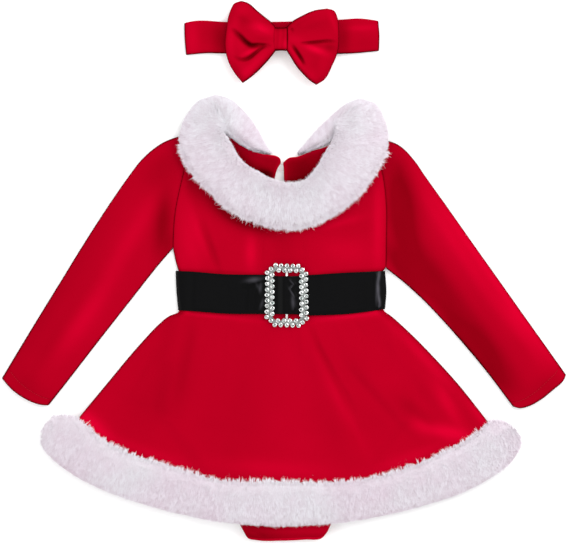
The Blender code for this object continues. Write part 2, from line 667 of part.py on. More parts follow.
# Each side has a side seam down to the hip and then the curve of a leg opening
BRIEF_LEFT = Edge(
    [(192.5, 317), (187, 360), (184.5, 400)],
    [(184.5, 400), (205, 448), (232, 486), (241.6, 527), (244.6, 532)],
)
BRIEF_RIGHT = Edge(
    [(378.5, 317), (384, 360), (386.5, 400)],
    [(386.5, 400), (366, 448), (339, 486), (331, 523), (327.4, 531)],
)


def brief_lift(x, y):
    """The back of the brief lies on the skirt's back, crosses the lower fur band and droops past it."""
    lying = skirt_back_lift(x, y) + VELVET + GAP + SLACK
    return lying - 6.4 * smoothstep((y - 529.6) / 11.2)


brief_patch = patch(BRIEF_TOP, BRIEF_TIP, BRIEF_LEFT, BRIEF_RIGHT)
brief_steep = [0.86, 0.945, 0.965, 0.982, 1.0]
brief_rows = np.concatenate([np.linspace(0, 0.4, 4), np.linspace(0.48, 0.78, 7), brief_steep])
brief_grid = brief_patch(np.linspace(0, 1, 9)[None, :], brief_rows[:, None])
for side, layer in (("back", 0), ("front", BRIEF_CLOTH + GAP)):

    def lying(x, y):
        return brief_lift(x, y) + layer

    cut_panel(f"brief_{side}", [brief_grid], lying, BRIEF_CLOTH, VELVET_RED)


# Headband: the ring lying flat, the two loops of its bow, and the strip that ties them

BAND_FOLD = 2.0
BAND_CROWN = 0.8
band_patch = patch(
    Edge([(184.2, 22.7), (192, 21), (225.7, 21.7), (281, 21.5), (338.7, 19.5), (360.7, 18.3), (378.3, 20.5)]),
    Edge([(186, 54.6), (206.7, 52.8), (224.6, 53.1), (281, 53), (337.2, 53.5), (350.4, 53.1), (379, 50.6)]),
    Edge([(184.2, 22.7), (184.6, 38), (186, 54.6)]),
    Edge([(378.3, 20.5), (379.4, 35), (379, 50.6)]),
)


def band_crown(x, y):
    return BAND_CROWN * smoothstep(np.minimum(x - 186, 377 - x) / 30)


band_rows, band_across = np.linspace(0, 1, 4), np.linspace(0, 1, 11)
flat_tube("headband_band", band_patch, BAND_FOLD, band_crown, VELVET, band_rows, band_across, VELVET_RED)

BAND_TOP = 2 * BAND_FOLD + BAND_CROWN
KNOT_BOARD = (281.0, 39.4)
KNOT_SIZE = (14.0, 22.8, 12.4)
KNOT_WALL = 1.4
BOW_FOOT = BAND_TOP + GAP + KNOT_WALL + GAP
BOW_ROWS = np.array([0.0, 0.05, 0.12, 0.22, 0.4, 0.65, 0.86, 1.0])
# Half the loop's thickness from the knot out to its end
BOW_SHARES = (0.0, 0.12, 0.4, 0.75, 0.94, 1.0)
BOW_HALVES = (3.6, 4.2, 5.4, 4.8, 3.4, 2.2)
# side, upper edge from the knot out, lower edge, outer end from the top, knot end from the top
BOW = (
    (
        "left",
        [(276.4, 33), (274, 31.4), (271.4, 23), (259.4, 11.8), (247, 3), (240, 1.6)],
        [(276.4, 46), (274, 47.6), (272, 55.5), (263.3, 67), (250.2, 79), (243, 83.2)],
        [(240, 1.6), (230.4, 14), (226, 34), (226, 55), (232, 70), (243, 83.2)],
        [(276.4, 33), (276.4, 46)],
    ),
    (
        "right",
        [(285.6, 33), (288, 31.4), (291.6, 22.6), (301.5, 16.6), (315.3, 10.9), (329, 9)],
        [(285.6, 46), (288, 47.6), (292.6, 60), (301.5, 73.2), (310, 81.4), (317.6, 85.2)],
        [(329, 9), (337.4, 18), (340.8, 33), (339.6, 49), (331, 69), (317.6, 85.2)],
        [(285.6, 33), (285.6, 46)],
    ),
)
# Creases pressed into the loops by the knot, in the form of the ridges above
BOW_CREASES = (
    (266, 44, 236, 33, 3.5, -1.6),
    (266, 48, 242, 60, 3.5, -1.4),
    (262, 28, 240, 14, 4.5, 1.2),
    (296, 44, 332, 42, 3.5, -1.6),
    (295, 48, 305, 66, 3.5, -1.4),
    (300, 28, 326, 18, 4.5, 1.2),
)

for side, upper, lower, end, knot_end in BOW:
    loop = patch(Edge(knot_end), Edge(end), Edge(upper), Edge(lower))
    flat_tube(
        f"bow_{side}",
        loop,
        np.interp(BOW_ROWS, BOW_SHARES, BOW_HALVES),
        lambda x, y: ridges(x, y, BOW_CREASES) * smoothstep((np.abs(x - KNOT_BOARD[0]) - 10) / 14),
        VELVET,
        BOW_ROWS,
        np.linspace(0, 1, 9),
        VELVET_RED,
        foot=BOW_FOOT,
        closed_end=True,
    )

# The strip's ring: a rounded rectangle across the bow, carried along the band
turn = np.radians(np.arange(0, 360, 22.5))
ring_y = KNOT_BOARD[1] + KNOT_SIZE[1] / 2 * np.sign(np.sin(turn)) * np.abs(np.sin(turn)) ** 0.55
ring_z = BAND_TOP + GAP + KNOT_SIZE[2] / 2 * (1 + np.sign(np.cos(turn)) * np.abs(np.cos(turn)) ** 0.55)
across_knot = KNOT_BOARD[0] + KNOT_SIZE[0] * np.array([-0.5, -0.25, 0.0, 0.25, 0.5])
waist_in = 1 + 0.03 * np.array([1.0, 0.2, 0.0, 0.2, 1.0])
centre_z = BAND_TOP + GAP + KNOT_SIZE[2] / 2
knot_y = KNOT_BOARD[1] + (ring_y - KNOT_BOARD[1]) * waist_in[:, None]
knot_points = board_to_part(across_knot[:, None], knot_y, ring_z[None, :])
index = np.arange(knot_points[..., 0].size).reshape(knot_points.shape[:2])
ahead = np.roll(index, -1, axis=1)
knot_faces = np.stack([index[:-1], ahead[:-1], ahead[1:], index[1:]], axis=-1).reshape(-1, 4)
knot_mesh = open_surface("bow_knot", knot_points.reshape(-1, 3), knot_faces.tolist())
knot = add_object("bow_knot", knot_mesh, VELVET_RED)
knot_wall = knot.modifiers.new("cloth wall", "SOLIDIFY")
knot_wall.thickness = KNOT_WALL * MM
knot_wall.offset = -1
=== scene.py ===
"""A baby's santa dress in red velvet with white fur, and its bow headband, laid flat on a pale floor.

The frame gives the place and size of every solid. Tables here are in board millimetres, x from the
board's left edge and y down from its top edge; each one is a millimetre of the real cloth.
"""

import math

import bmesh
import bpy
import numpy as np
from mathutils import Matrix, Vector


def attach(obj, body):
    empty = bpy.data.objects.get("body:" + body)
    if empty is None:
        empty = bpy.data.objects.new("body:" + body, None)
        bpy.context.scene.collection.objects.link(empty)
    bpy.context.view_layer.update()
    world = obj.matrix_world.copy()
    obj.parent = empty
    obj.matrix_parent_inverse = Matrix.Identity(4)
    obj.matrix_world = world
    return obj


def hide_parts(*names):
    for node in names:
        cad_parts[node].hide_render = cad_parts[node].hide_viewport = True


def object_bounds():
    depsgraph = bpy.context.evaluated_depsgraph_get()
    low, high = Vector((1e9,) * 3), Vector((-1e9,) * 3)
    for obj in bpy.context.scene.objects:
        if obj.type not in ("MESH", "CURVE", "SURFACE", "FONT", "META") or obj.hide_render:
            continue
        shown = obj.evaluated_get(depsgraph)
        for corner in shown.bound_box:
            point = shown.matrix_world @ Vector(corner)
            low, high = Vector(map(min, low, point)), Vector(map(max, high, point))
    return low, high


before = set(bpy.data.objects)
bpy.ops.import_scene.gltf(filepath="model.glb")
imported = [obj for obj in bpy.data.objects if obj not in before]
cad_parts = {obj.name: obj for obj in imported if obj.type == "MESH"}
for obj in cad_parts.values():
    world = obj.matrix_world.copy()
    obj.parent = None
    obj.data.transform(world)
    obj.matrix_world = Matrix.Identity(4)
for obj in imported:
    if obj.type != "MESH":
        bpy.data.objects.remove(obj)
CAD_BOX = [list(corner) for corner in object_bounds()]


# Bodice back
# One panel of stretch velvet lying on the floor, with a teardrop slit down from the neckline.
# Its neckline is turned under and stitched, and the button and the fur collar hold it up.

MM = 0.001
VELVET = 1.5
NECK_RISE = 3.4  # how far the back neckline is held off the floor
BELT_RISE = 1.3  # how far the belt's back stretch lifts the bodice
SHELL_LOW, SHELL_HIGH = (np.array(corner) for corner in CAD_BOX)
BOARD_LEFT = 1.4  # where the part begins on the board
BOARD_TOP = 1.58
BOARD_CENTRE = (
    BOARD_LEFT + (SHELL_HIGH[0] - SHELL_LOW[0]) / MM / 2,
    BOARD_TOP + (SHELL_HIGH[1] - SHELL_LOW[1]) / MM / 2,
)


def board_to_frame(x, y, z):
    """Board millimetres and a height in millimetres, as metres in the frame."""
    x, y, z = np.broadcast_arrays(x, y, z)
    return np.stack([x - BOARD_CENTRE[0], BOARD_CENTRE[1] - y, z], axis=-1) * MM


def smoothstep(t):
    """0 below 0, 1 above 1, and t squared times (3 - 2t) between."""
    t = np.clip(t, 0.0, 1.0)
    return t * t * (3 - 2 * t)


def smooth_run(points, steps=24):
    """A smooth curve through the points: cubics whose slopes come from the neighbouring points."""
    points = np.array(points, float)
    length = np.concatenate([[0.0], np.cumsum(np.linalg.norm(np.diff(points, axis=0), axis=1))])
    slope = np.gradient(points, length, axis=0)
    t = np.linspace(0, 1, steps, endpoint=False)[:, None]
    spans = []
    for start, end, from_slope, to_slope, reach in zip(
        points[:-1], points[1:], slope[:-1], slope[1:], np.diff(length)
    ):
        spans.append(
            (1 + 2 * t) * (1 - t) ** 2 * start
            + t * (1 - t) ** 2 * reach * from_slope
            + t * t * (3 - 2 * t) * end
            + t * t * (t - 1) * reach * to_slope
        )
    return np.concatenate(spans + [points[-1:]])


class Edge:
    """An edge of a cut piece: smooth within each run of points, with a corner where two runs meet."""

    def __init__(self, *runs):
        """Draws the runs, and notes each point's share of the length and the shares of the corners."""
        drawn = [smooth_run(run) for run in runs]
        self.points = np.concatenate(drawn)
        steps = np.linalg.norm(np.diff(self.points, axis=0), axis=1)
        length = np.concatenate([[0.0], np.cumsum(steps)])
        self.length = length[-1]
        self.share = length / length[-1]
        ends = np.cumsum([len(run) for run in drawn]) - 1
        self.corners = np.array([0.0, *self.share[ends]])

    def at(self, t):
        """Board points at shares t of the edge's length."""
        return np.stack([np.interp(t, self.share, self.points[:, i]) for i in (0, 1)], axis=-1)

    def shares(self, count):
        """About count shares, close together at both ends, each corner among them."""
        near = np.array([0.1, 0.35, 0.75, 1.5]) / self.length
        even = np.linspace(0, 1, count)
        even = even[(even > 2 * near[-1]) & (even < 1 - 2 * near[-1])]
        return np.unique(np.concatenate([self.corners, near, even, 1 - near]))


def patch(top, bottom, left, right):
    """The area between four edges (a Coons patch), as a function of u, to the right, and v, downwards."""

    def at(u, v):
        """Between top and bottom, plus between left and right, less the corners' weighted mean."""
        u, v = np.broadcast_arrays(u, v)
        between_ends = v[..., None] * bottom.at(u) + (1 - v[..., None]) * top.at(u)
        between_sides = u[..., None] * right.at(v) + (1 - u[..., None]) * left.at(v)
        u, v = u[..., None], v[..., None]
        corners = (1 - v) * ((1 - u) * top.at(0.0) + u * top.at(1.0))
        corners = corners + v * ((1 - u) * bottom.at(0.0) + u * bottom.at(1.0))
        return between_ends + between_sides - corners

    return at


def inward(grid, left=True, right=True, top=True, bottom=True):
    """Millimetres from each point of a board grid to the nearest of its cut sides, along the grid's lines. A
    side may be an array that says at which rows it is cut."""
    across = np.linalg.norm(np.diff(grid, axis=1), axis=-1)
    across = np.pad(np.cumsum(across, axis=1), ((0, 0), (1, 0)))
    down = np.linalg.norm(np.diff(grid, axis=0), axis=-1)
    down = np.pad(np.cumsum(down, axis=0), ((1, 0), (0, 0)))
    far = 1000.0
    sides = [
        np.where(np.reshape(left, (-1, 1)), across, far),
        np.where(np.reshape(right, (-1, 1)), across[:, -1:] - across, far),
        np.where(top, down, far),
        np.where(bottom, down[-1:] - down, far),
    ]
    return np.minimum.reduce(sides)


def half_wall(wall, beside):
    """Half a cloth's thickness this far from its cut side: a half round, then the full wall."""
    turned = np.clip(beside / (wall / 2), 0, 1)
    return wall / 2 * np.sqrt(1 - (1 - turned) ** 2)


def put_mesh(name, points, face_sets, finishes, attributes=None):
    """A mesh object from an array of points and arrays of faces, each array holding faces of one size. An
    attribute holds a value for each point, or for each face."""
    mesh = bpy.data.meshes.new(name)
    mesh.vertices.add(len(points))
    mesh.vertices.foreach_set("co", np.ascontiguousarray(points, np.float32).ravel())
    corners = np.concatenate([faces.ravel() for faces in face_sets])
    sizes = np.concatenate([np.full(len(faces), faces.shape[1]) for faces in face_sets])
    mesh.loops.add(len(corners))
    mesh.loops.foreach_set("vertex_index", corners.astype(np.int32))
    mesh.polygons.add(len(sizes))
    mesh.polygons.foreach_set("loop_start", (np.cumsum(sizes) - sizes).astype(np.int32))
    for finish in finishes:
        mesh.materials.append(finish)
    for attribute, values in (attributes or {}).items():
        layer = mesh.attributes.new(attribute, "FLOAT", "POINT" if len(values) == len(points) else "FACE")
        layer.data.foreach_set("value", np.ascontiguousarray(values, np.float32).ravel())
    mesh.update(calc_edges=True)
    mesh.shade_smooth()
    made = bpy.data.objects.new(name, mesh)
    bpy.context.scene.collection.objects.link(made)
    return made


def quads(rows, columns, start=0, flipped=False):
    """Faces of a grid whose rows run down the board and whose columns run to the right, facing up."""
    index = np.arange(rows * columns).reshape(rows, columns) + start
    faces = np.stack([index[:-1, :-1], index[1:, :-1], index[1:, 1:], index[:-1, 1:]], axis=-1).reshape(-1, 4)
    return faces[:, ::-1] if flipped else faces


def weld(made):
    """Joins the points of a mesh that lie in the same place."""
    shape = bmesh.new()
    shape.from_mesh(made.data)
    bmesh.ops.remove_doubles(shape, verts=shape.verts[:], dist=2e-7)
    shape.to_mesh(made.data)
    shape.free()
    made.data.shade_smooth()
    return made


SIDE_SHADE = 1.0  # how much shade is painted where the cloth turns away at a fold


def shaded_sides(made):
    """Paints shade where the cloth turns over: by one minus how far it still faces up."""
    mesh = made.data
    normals = np.empty(len(mesh.vertices) * 3, np.float32)
    mesh.vertex_normals.foreach_get("vector", normals)
    painted_shading = np.empty(len(mesh.vertices), np.float32)
    mesh.attributes["painted_light_and_shade"].data.foreach_get("value", painted_shading)
    painted_shading -= SIDE_SHADE * (1 - np.abs(normals[2::3]))
    mesh.attributes["painted_light_and_shade"].data.foreach_set("value", painted_shading)
    return made


def laid_panel(name, layers, wall, finish):
    """A panel of cloth laid flat, as a closed shell. Each layer is (board grid, height of its lower side,
    millimetres from its cut sides, painted light and shade). Both skins bend to the middle at a cut side."""
    points, faces, painted_shading, start = [], [], [], 0
    for grid, low, beside, painted_light_and_shade in layers:
        half = half_wall(wall, beside)
        for side in (1, -1):
            height = low + wall / 2 + side * half
            points.append(board_to_frame(grid[..., 0], grid[..., 1], height).reshape(-1, 3))
            faces.append(quads(*grid.shape[:2], start, flipped=side < 0))
            painted_shading.append(np.broadcast_to(painted_light_and_shade, grid.shape[:2]).ravel())
            start += grid.shape[0] * grid.shape[1]
    made = put_mesh(name, np.concatenate(points), faces, [finish], {"painted_light_and_shade": np.concatenate(painted_shading)})
    return shaded_sides(weld(made))


def painted_light_patches(x, y, table, lowest=-0.8):
    """Painted light and shade. Each row is (x, y, half length, half width, turn in degrees, amount):
    an amount times a bell along and a bell across a line at that turn, clockwise from the board's right."""
    total = np.zeros(np.broadcast(x, y).shape)
    for centre_x, centre_y, half_length, half_width, turn, amount in table:
        cosine, sine = math.cos(math.radians(turn)), math.sin(math.radians(turn))
        along = (x - centre_x) * cosine + (y - centre_y) * sine
        beside = (y - centre_y) * cosine - (x - centre_x) * sine
        total = total + amount * np.exp(-((along / half_length) ** 2) - (beside / half_width) ** 2)
    return np.maximum(total, lowest)


def new_finish(name):
    """A material with nodes, its node tree and its shader."""
    made = bpy.data.materials.new(name)
    made.use_nodes = True
    return made, made.node_tree, made.node_tree.nodes["Principled BSDF"]


def node(tree, kind, **settings):
    """A node of a material, with its inputs set by name, or its own settings by attribute."""
    made = tree.nodes.new(kind)
    for key, value in settings.items():
        if key.replace("_", " ") in made.inputs:
            made.inputs[key.replace("_", " ")].default_value = value
        else:
            setattr(made, key, value)
    return made


def grain(tree, scale, detail, stretch=(1.0, 1.0, 1.0)):
    """Cloudy noise on the piece's own coordinates, scale clouds to the metre."""
    place = node(tree, "ShaderNodeTexCoord")
    turned = node(tree, "ShaderNodeMapping")
    turned.inputs["Scale"].default_value = stretch
    noise = node(tree, "ShaderNodeTexNoise", Scale=scale, Detail=detail, Roughness=0.55)
    tree.links.new(place.outputs["Object"], turned.inputs["Vector"])
    tree.links.new(turned.outputs["Vector"], noise.inputs["Vector"])
    return noise.outputs["Fac"]


def weighed(tree, first, weight, second):
    """first plus weight times second."""
    made = node(tree, "ShaderNodeMath", operation="MULTIPLY_ADD")
    tree.links.new(second, made.inputs[0])
    made.inputs[1].default_value = weight
    if isinstance(first, float):
        made.inputs[2].default_value = first
    else:
        tree.links.new(first, made.inputs[2])
    return made.outputs[0]


def colours(tree, factor, stops):
    """A ramp of colours over factor; each stop is (place, colour)."""
    ramp = node(tree, "ShaderNodeValToRGB")
    band = ramp.color_ramp
    while len(band.elements) < len(stops):
        band.elements.new(0.5)
    for element, (place, colour) in zip(band.elements, stops):
        element.position = place
        element.color = (*colour, 1.0)
    tree.links.new(factor, ramp.inputs["Fac"])
    return ramp.outputs["Color"]


def bumps(tree, shader, height, depth, strength=1.0):
    """Relief of depth metres where height goes from 0 to 1."""
    made = node(tree, "ShaderNodeBump", Strength=strength, Distance=depth)
    tree.links.new(height, made.inputs["Height"])
    tree.links.new(made.outputs["Normal"], shader.inputs["Normal"])


# Colour stops from painted deep shade through the velvet's own red to a painted highlight.
VELVET_SHADE = (0.045, 0.0001, 0.0008)
VELVET_DEEP = (0.210, 0.0002, 0.0048)
VELVET_RED = (0.376, 0.0002, 0.0115)
VELVET_BRIGHT = (0.56, 0.0003, 0.0213)


def velvet_finish():
    """Red stretch velvet over a fine grain, painted with shade and highlights in broad soft patches."""
    made, tree, shader = new_finish("red_velvet")
    painted_light_and_shade = node(tree, "ShaderNodeAttribute", attribute_name="painted_light_and_shade").outputs["Fac"]
    tone_and_painted_light = weighed(tree, 0.6 - 0.144 * 0.5, 0.144, grain(tree, 11.0, 3.0))
    # The attribute moves the colour along the stops: painted light and shade.
    tone_and_painted_light = weighed(tree, tone_and_painted_light, 0.4, painted_light_and_shade)
    fibres = grain(tree, 1400.0, 2.0)
    tone_and_painted_light = weighed(tree, tone_and_painted_light, 0.048, fibres)
    stops = [(0.0, VELVET_SHADE), (0.28, VELVET_DEEP), (0.624, VELVET_RED), (0.96, VELVET_BRIGHT)]
    tree.links.new(colours(tree, tone_and_painted_light, stops), shader.inputs["Base Color"])
    shader.inputs["Roughness"].default_value = 0.88
    shader.inputs["Specular IOR Level"].default_value = 0.0
    shader.inputs["Sheen Weight"].default_value = 0.12
    shader.inputs["Sheen Roughness"].default_value = 0.4
    shader.inputs["Sheen Tint"].default_value = (1.0, 0.002, 0.05, 1.0)
    rumple = weighed(tree, fibres, 2.0, grain(tree, 90.0, 2.0))
    bumps(tree, shader, rumple, 0.00018, 0.6)
    return made


velvet = velvet_finish()


def neck_lift(x, y):
    """How far the back neckline is held off the floor: the full rise round the neck, falling to none 92 mm
    beside its middle and 67 mm below it."""
    from_neck = np.hypot((x - 281) / 50, (y - 125) / 36)
    return NECK_RISE * smoothstep((1.85 - from_neck) / 0.45)


def belt_lift(x, y):
    """How far the bodice is raised, over 20 mm, where it lies on the belt's back stretch."""
    return BELT_RISE * smoothstep((y - 246) / 20)


ARMHOLE_LEFT = [(196, 131), (184, 172), (175, 215), (173, 248)]
ARMHOLE_RIGHT = [(366, 136), (381, 169), (386, 205), (386, 240), (385.6, 267.6)]
SIDE_LEFT = [(173, 248), (176, 262), (178.7, 271), (180.6, 306.8)]
UNDERARM_RIGHT = [(385.6, 267.6), (382.4, 271)]
SIDE_RIGHT = [(382.4, 271), (381.7, 305.6)]
SHOULDER_LEFT = [(196, 131), (219, 128.5)]
SHOULDER_RIGHT = [(336, 135), (366, 136)]
NECK_BACK_LEFT = [(219, 128.5), (228.4, 134.6), (239, 143.8), (250.6, 150), (262, 153.5), (271, 154.6)]
NECK_BACK_LEFT += [(276.6, 155.6), (280, 158), (281, 162.6)]
NECK_BACK_RIGHT = [(283, 162.4), (289, 157.5), (296.5, 156.4), (311.8, 150.7), (328.7, 144.5), (336, 135)]
SLIT_LEFT = [(281, 162.6), (277.6, 168), (274.8, 178), (274, 195), (275.6, 215), (280.5, 234)]
SLIT_RIGHT = [(283, 162.4), (283.6, 168), (283.8, 178), (285.2, 195), (284.6, 215), (280.5, 234)]
BELOW_SLIT = [(280.5, 234), (280.5, 311)]
WAIST_LEFT_HALF = Edge([(180.6, 306.8), (216, 309.4), (249, 310.8), (280.5, 311)])
WAIST_RIGHT_HALF = Edge([(280.5, 311), (310, 310.8), (345, 309.4), (381.7, 305.6)])
TURNED_EDGE = 5.0  # how much of the neckline is turned under
TURNED_RISE = 0.55  # how much thicker it makes the neckline
# Painted shade under the fur collar's edges and inside the neck, with one painted highlight.
# x, y, half length, half width, turn, amount
BACK_PAINTED_LIGHT = (
    (262, 176, 9, 7, 30, -0.4),
    (303, 172, 16, 20, 0, -0.45),
    (244, 160, 22, 4, 42, -0.35),
    (268, 173, 9, 3.5, 22, -0.6),
    (256, 158, 14, 4, 30, 0.15),
)

side_left = Edge(ARMHOLE_LEFT, SIDE_LEFT)
side_right = Edge(ARMHOLE_RIGHT, UNDERARM_RIGHT, SIDE_RIGHT)
left_top = Edge(SHOULDER_LEFT, NECK_BACK_LEFT)
right_top = Edge(NECK_BACK_RIGHT, SHOULDER_RIGHT)
left_slit = Edge(SLIT_LEFT, BELOW_SLIT)
right_slit = Edge(SLIT_RIGHT, BELOW_SLIT)
left_rows = np.union1d(left_slit.shares(72), side_left.corners)
right_rows = np.interp(left_rows, left_slit.corners, right_slit.corners)
back_halves = []
for sides, rows, top_edge in (
    ((left_top, WAIST_LEFT_HALF, side_left, left_slit), left_rows, left_top),
    ((right_top, WAIST_RIGHT_HALF, right_slit, side_right), right_rows, right_top),
):
    grid = patch(*sides)(top_edge.shares(50)[None, :], rows[:, None])
    slit_rows = left_rows < left_slit.corners[1] + 1e-9
    at_left = slit_rows if top_edge is right_top else True
    at_right = slit_rows if top_edge is left_top else True
    beside = inward(grid, left=at_left, right=at_right)
    opening = inward(grid, left=at_left, right=at_right, bottom=False)
    x, y = grid[..., 0], grid[..., 1]
    turned = TURNED_RISE * smoothstep((TURNED_EDGE - opening) / 1.2) * smoothstep((230 - y) / 20)
    stitched = -0.35 * np.exp(-(((opening - TURNED_EDGE + 0.8) / 0.5) ** 2)) * smoothstep((230 - y) / 20)
    height = neck_lift(x, y) + belt_lift(x, y) + turned + stitched
    # Painted light on the turned neckline and at the fur's edge; painted shade over the whole back.
    painted_light_and_shade = painted_light_patches(x, y, BACK_PAINTED_LIGHT) + 0.35 * smoothstep((TURNED_EDGE - opening) / 2)
    painted_light_and_shade = painted_light_and_shade + 0.9 * smoothstep((1.3 - opening) / 0.8) * smoothstep((162 - y) / 6)
    back_halves.append((grid, height, beside, painted_light_and_shade - 0.68))
bodice_back = laid_panel("bodice_back_velvet", back_halves, VELVET, velvet)


def cut_size(*grids):
    """(width, length) of the piece as laid and its area in square metres, by the grids' own cells."""
    area = 0.0
    for grid in grids:
        down, across = np.diff(grid[:, :-1], axis=0), np.diff(grid[:-1], axis=1)
        area += np.abs(down[..., 0] * across[..., 1] - down[..., 1] * across[..., 0]).sum()
    every = np.concatenate([grid.reshape(-1, 2) for grid in grids])
    width, length = (every.max(0) - every.min(0)) * MM
    return (float(width), float(length)), float(area * MM * MM)


def stands_for(made, nodes):
    """The piece rides on the part and stands in for these nodes, which it hides."""
    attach(made, "root")
    if nodes:
        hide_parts(*nodes)


stands_for(bodice_back, ["bodice_back"])


# Button and loop
# A pearly button on a shank, under the right edge of the slit, and a two ply elastic loop sewn to the left
# edge and hooked round the shank. They close the top of the slit.

LOOP_RADIUS = 0.42
LOOP_LINE = [(275.4, 164.8), (278.4, 164.3), (281.6, 164.0), (286.4, 165.0), (290.2, 166.2), (290.4, 168.4)]
LOOP_LINE += [(286.4, 169.6), (281.6, 169.9), (278.4, 169.6), (275.4, 169.3)]
LOOP_HEIGHT = 2.3


def plain_finish(name, colour, roughness, specular=0.5, metallic=0.0, cloudiness=0.03, scale=900.0):
    """One colour, a little cloudy, with a fine uneven surface."""
    made, tree, shader = new_finish(name)
    clouds = grain(tree, scale, 3.0)
    paler = tuple(min(1.0, part * (1 + cloudiness)) for part in colour)
    darker = tuple(part * (1 - cloudiness) for part in colour)
    tree.links.new(colours(tree, clouds, [(0.3, darker), (0.7, paler)]), shader.inputs["Base Color"])
    shader.inputs["Roughness"].default_value = roughness
    shader.inputs["Specular IOR Level"].default_value = specular
    shader.inputs["Metallic"].default_value = metallic
    bumps(tree, shader, clouds, 0.00006, 0.4)
    return made


def carried(name, path, radius, ply, finish, sides=10):
    """A round profile carried along a path of board points and heights. Its radius swells by a seventh where
    a ply passes, ply turns to the millimetre."""
    path = np.asarray(path, float)
    ahead = np.gradient(path, axis=0)
    ahead /= np.linalg.norm(ahead, axis=1, keepdims=True)
    beside = np.cross(ahead, (0, 0, 1.0))
    beside /= np.linalg.norm(beside, axis=1, keepdims=True)
    over = np.cross(beside, ahead)
    length = np.pad(np.cumsum(np.linalg.norm(np.diff(path, axis=0), axis=1)), (1, 0))
    turn = np.linspace(0, 2 * np.pi, sides, endpoint=False)
    swell = radius * (1 + np.cos(2 * (turn[None, :] - 2 * np.pi * ply * length[:, None])) / 7)
    ring = path[:, None] + (swell * np.cos(turn))[..., None] * beside[:, None]
    ring = ring + (swell * np.sin(turn))[..., None] * over[:, None]
    rows = len(path)
    index = np.arange(rows * sides).reshape(rows, sides)
    ahead_index = np.roll(index, -1, axis=1)
    skin = np.stack([index[:-1], ahead_index[:-1], ahead_index[1:], index[1:]], axis=-1).reshape(-1, 4)
    caps = [index[:1, ::-1], index[-1:]]
    points = board_to_frame(ring[..., 0], ring[..., 1], ring[..., 2]).reshape(-1, 3)
    return put_mesh(name, points, [skin, *caps], [finish])


pearl = plain_finish("pearly_button", (0.80, 0.76, 0.74), 0.22, cloudiness=0.08, scale=500.0)
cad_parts["neck_button"].data.materials.clear()
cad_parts["neck_button"].data.materials.append(pearl)
loop_points = smooth_run(LOOP_LINE, steps=12)
loop_heights = np.full(len(loop_points), LOOP_HEIGHT)
loop_thread = plain_finish("loop_thread", (0.82, 0.70, 0.70), 0.7, specular=0.2, cloudiness=0.15)
button_loop = carried(
    "button_loop_thread", np.column_stack([loop_points, loop_heights]), LOOP_RADIUS, 0.55, loop_thread
)
stands_for(button_loop, ["button_loop"])


# Bodice front
# One velvet panel laid over the back one and sewn to it down both sides, from the round neck to the waist.
# It is cut for a round body, so it lies a little full, in soft folds that hang from the collar.

LAYER_GAP = 0.3
BODICE_LOFT = 3.0  # how full the front lies over the back
SEAM_SINK = 0.8  # how far a seam pulls the cloth down
NECK_FRONT = [(219, 128.5), (224, 141), (233, 153), (246, 167), (262, 179), (281, 186)]
NECK_FRONT += [(300, 184), (315, 174), (325, 160), (331, 147), (336, 135)]
WAIST_LINE = [(180.6, 306.8), (216, 309.4), (249, 310.8), (281, 311), (310, 310.8), (345, 309.4)]
WAIST = Edge(WAIST_LINE + [(381.7, 305.6)])
# top x, top y, low x, low y, half width, height
FRONT_FOLDS = (
    (196, 196, 200, 262, 8, 0.9),
    (203, 222, 217, 266, 3.2, -1.1),
    (222, 228, 232, 268, 6, 0.5),
    (249, 236, 250, 268, 5, 0.8),
    (260, 236, 261, 268, 3.0, -0.7),
    (268, 238, 268, 266, 3.0, 0.4),
    (301, 240, 304, 266, 4.0, -0.5),
    (318, 231, 352, 219, 3.5, 0.7),
    (322, 242, 372, 232, 4.0, -0.5),
    (376, 190, 378, 262, 5, 0.7),
    (189, 172, 196, 214, 4, -0.7),
)
# Painted shadow under the collar and above the belt, and painted light and shade on the folds.
# x, y, half length, half width, turn, amount
FRONT_PAINTED_LIGHT = (
    (190, 240, 34, 12, 88, 0.42),
    (200, 236, 24, 4, 70, 0.2),
    (211, 246, 24, 3.5, 70, -0.35),
    (222, 206, 30, 9, 38, -0.75),
    (248, 223, 26, 6, 24, -0.8),
    (251, 252, 18, 6, 90, 0.6),
    (284, 250, 24, 12, 90, -0.12),
    (340, 222, 22, 4, -14, 0.35),
    (378, 225, 46, 6, 90, 0.45),
    (345, 250, 30, 14, 0, 0.3),
    (222, 271.6, 46, 1.8, 3, -0.45),
    (345, 271.4, 44, 1.8, -4, -0.45),
    (192, 185, 22, 7, 70, -0.35),
)


def folds(x, y, table):
    """Soft folds. Each row is (top x, top y, low x, low y, half width, height): a height times a bell across
    the line, which fades in from a quarter of its length before each end to 0.15 of it past that end. A
    negative height is a trough."""
    total = np.zeros(np.broadcast(x, y).shape)
    for top_x, top_y, low_x, low_y, half_width, height in table:
        length = math.hypot(low_x - top_x, low_y - top_y)
        along = ((x - top_x) * (low_x - top_x) + (y - top_y) * (low_y - top_y)) / length**2
        beside = ((x - top_x) * (low_y - top_y) - (y - top_y) * (low_x - top_x)) / length
        fade = smoothstep((along + 0.25) / 0.4) * smoothstep((1.25 - along) / 0.4)
        total = total + height * fade * np.exp(-((beside / half_width) ** 2))
    return total


def outline_shade(beside):
    """How much shade is painted this many millimetres from a side where the cloth turns over, as a bell
    1.3 mm wide."""
    return 1.3 * np.exp(-((beside / 1.3) ** 2))


def seam_height(share):
    """The middle of the cloth along an armhole, from the shoulder to the underarm: the bodice's loft rises
    over the back's wall as a half sine to the power 0.7."""
    return VELVET + LAYER_GAP + VELVET / 2 + BODICE_LOFT * np.sin(np.pi * np.clip(share, 0, 1)) ** 0.7


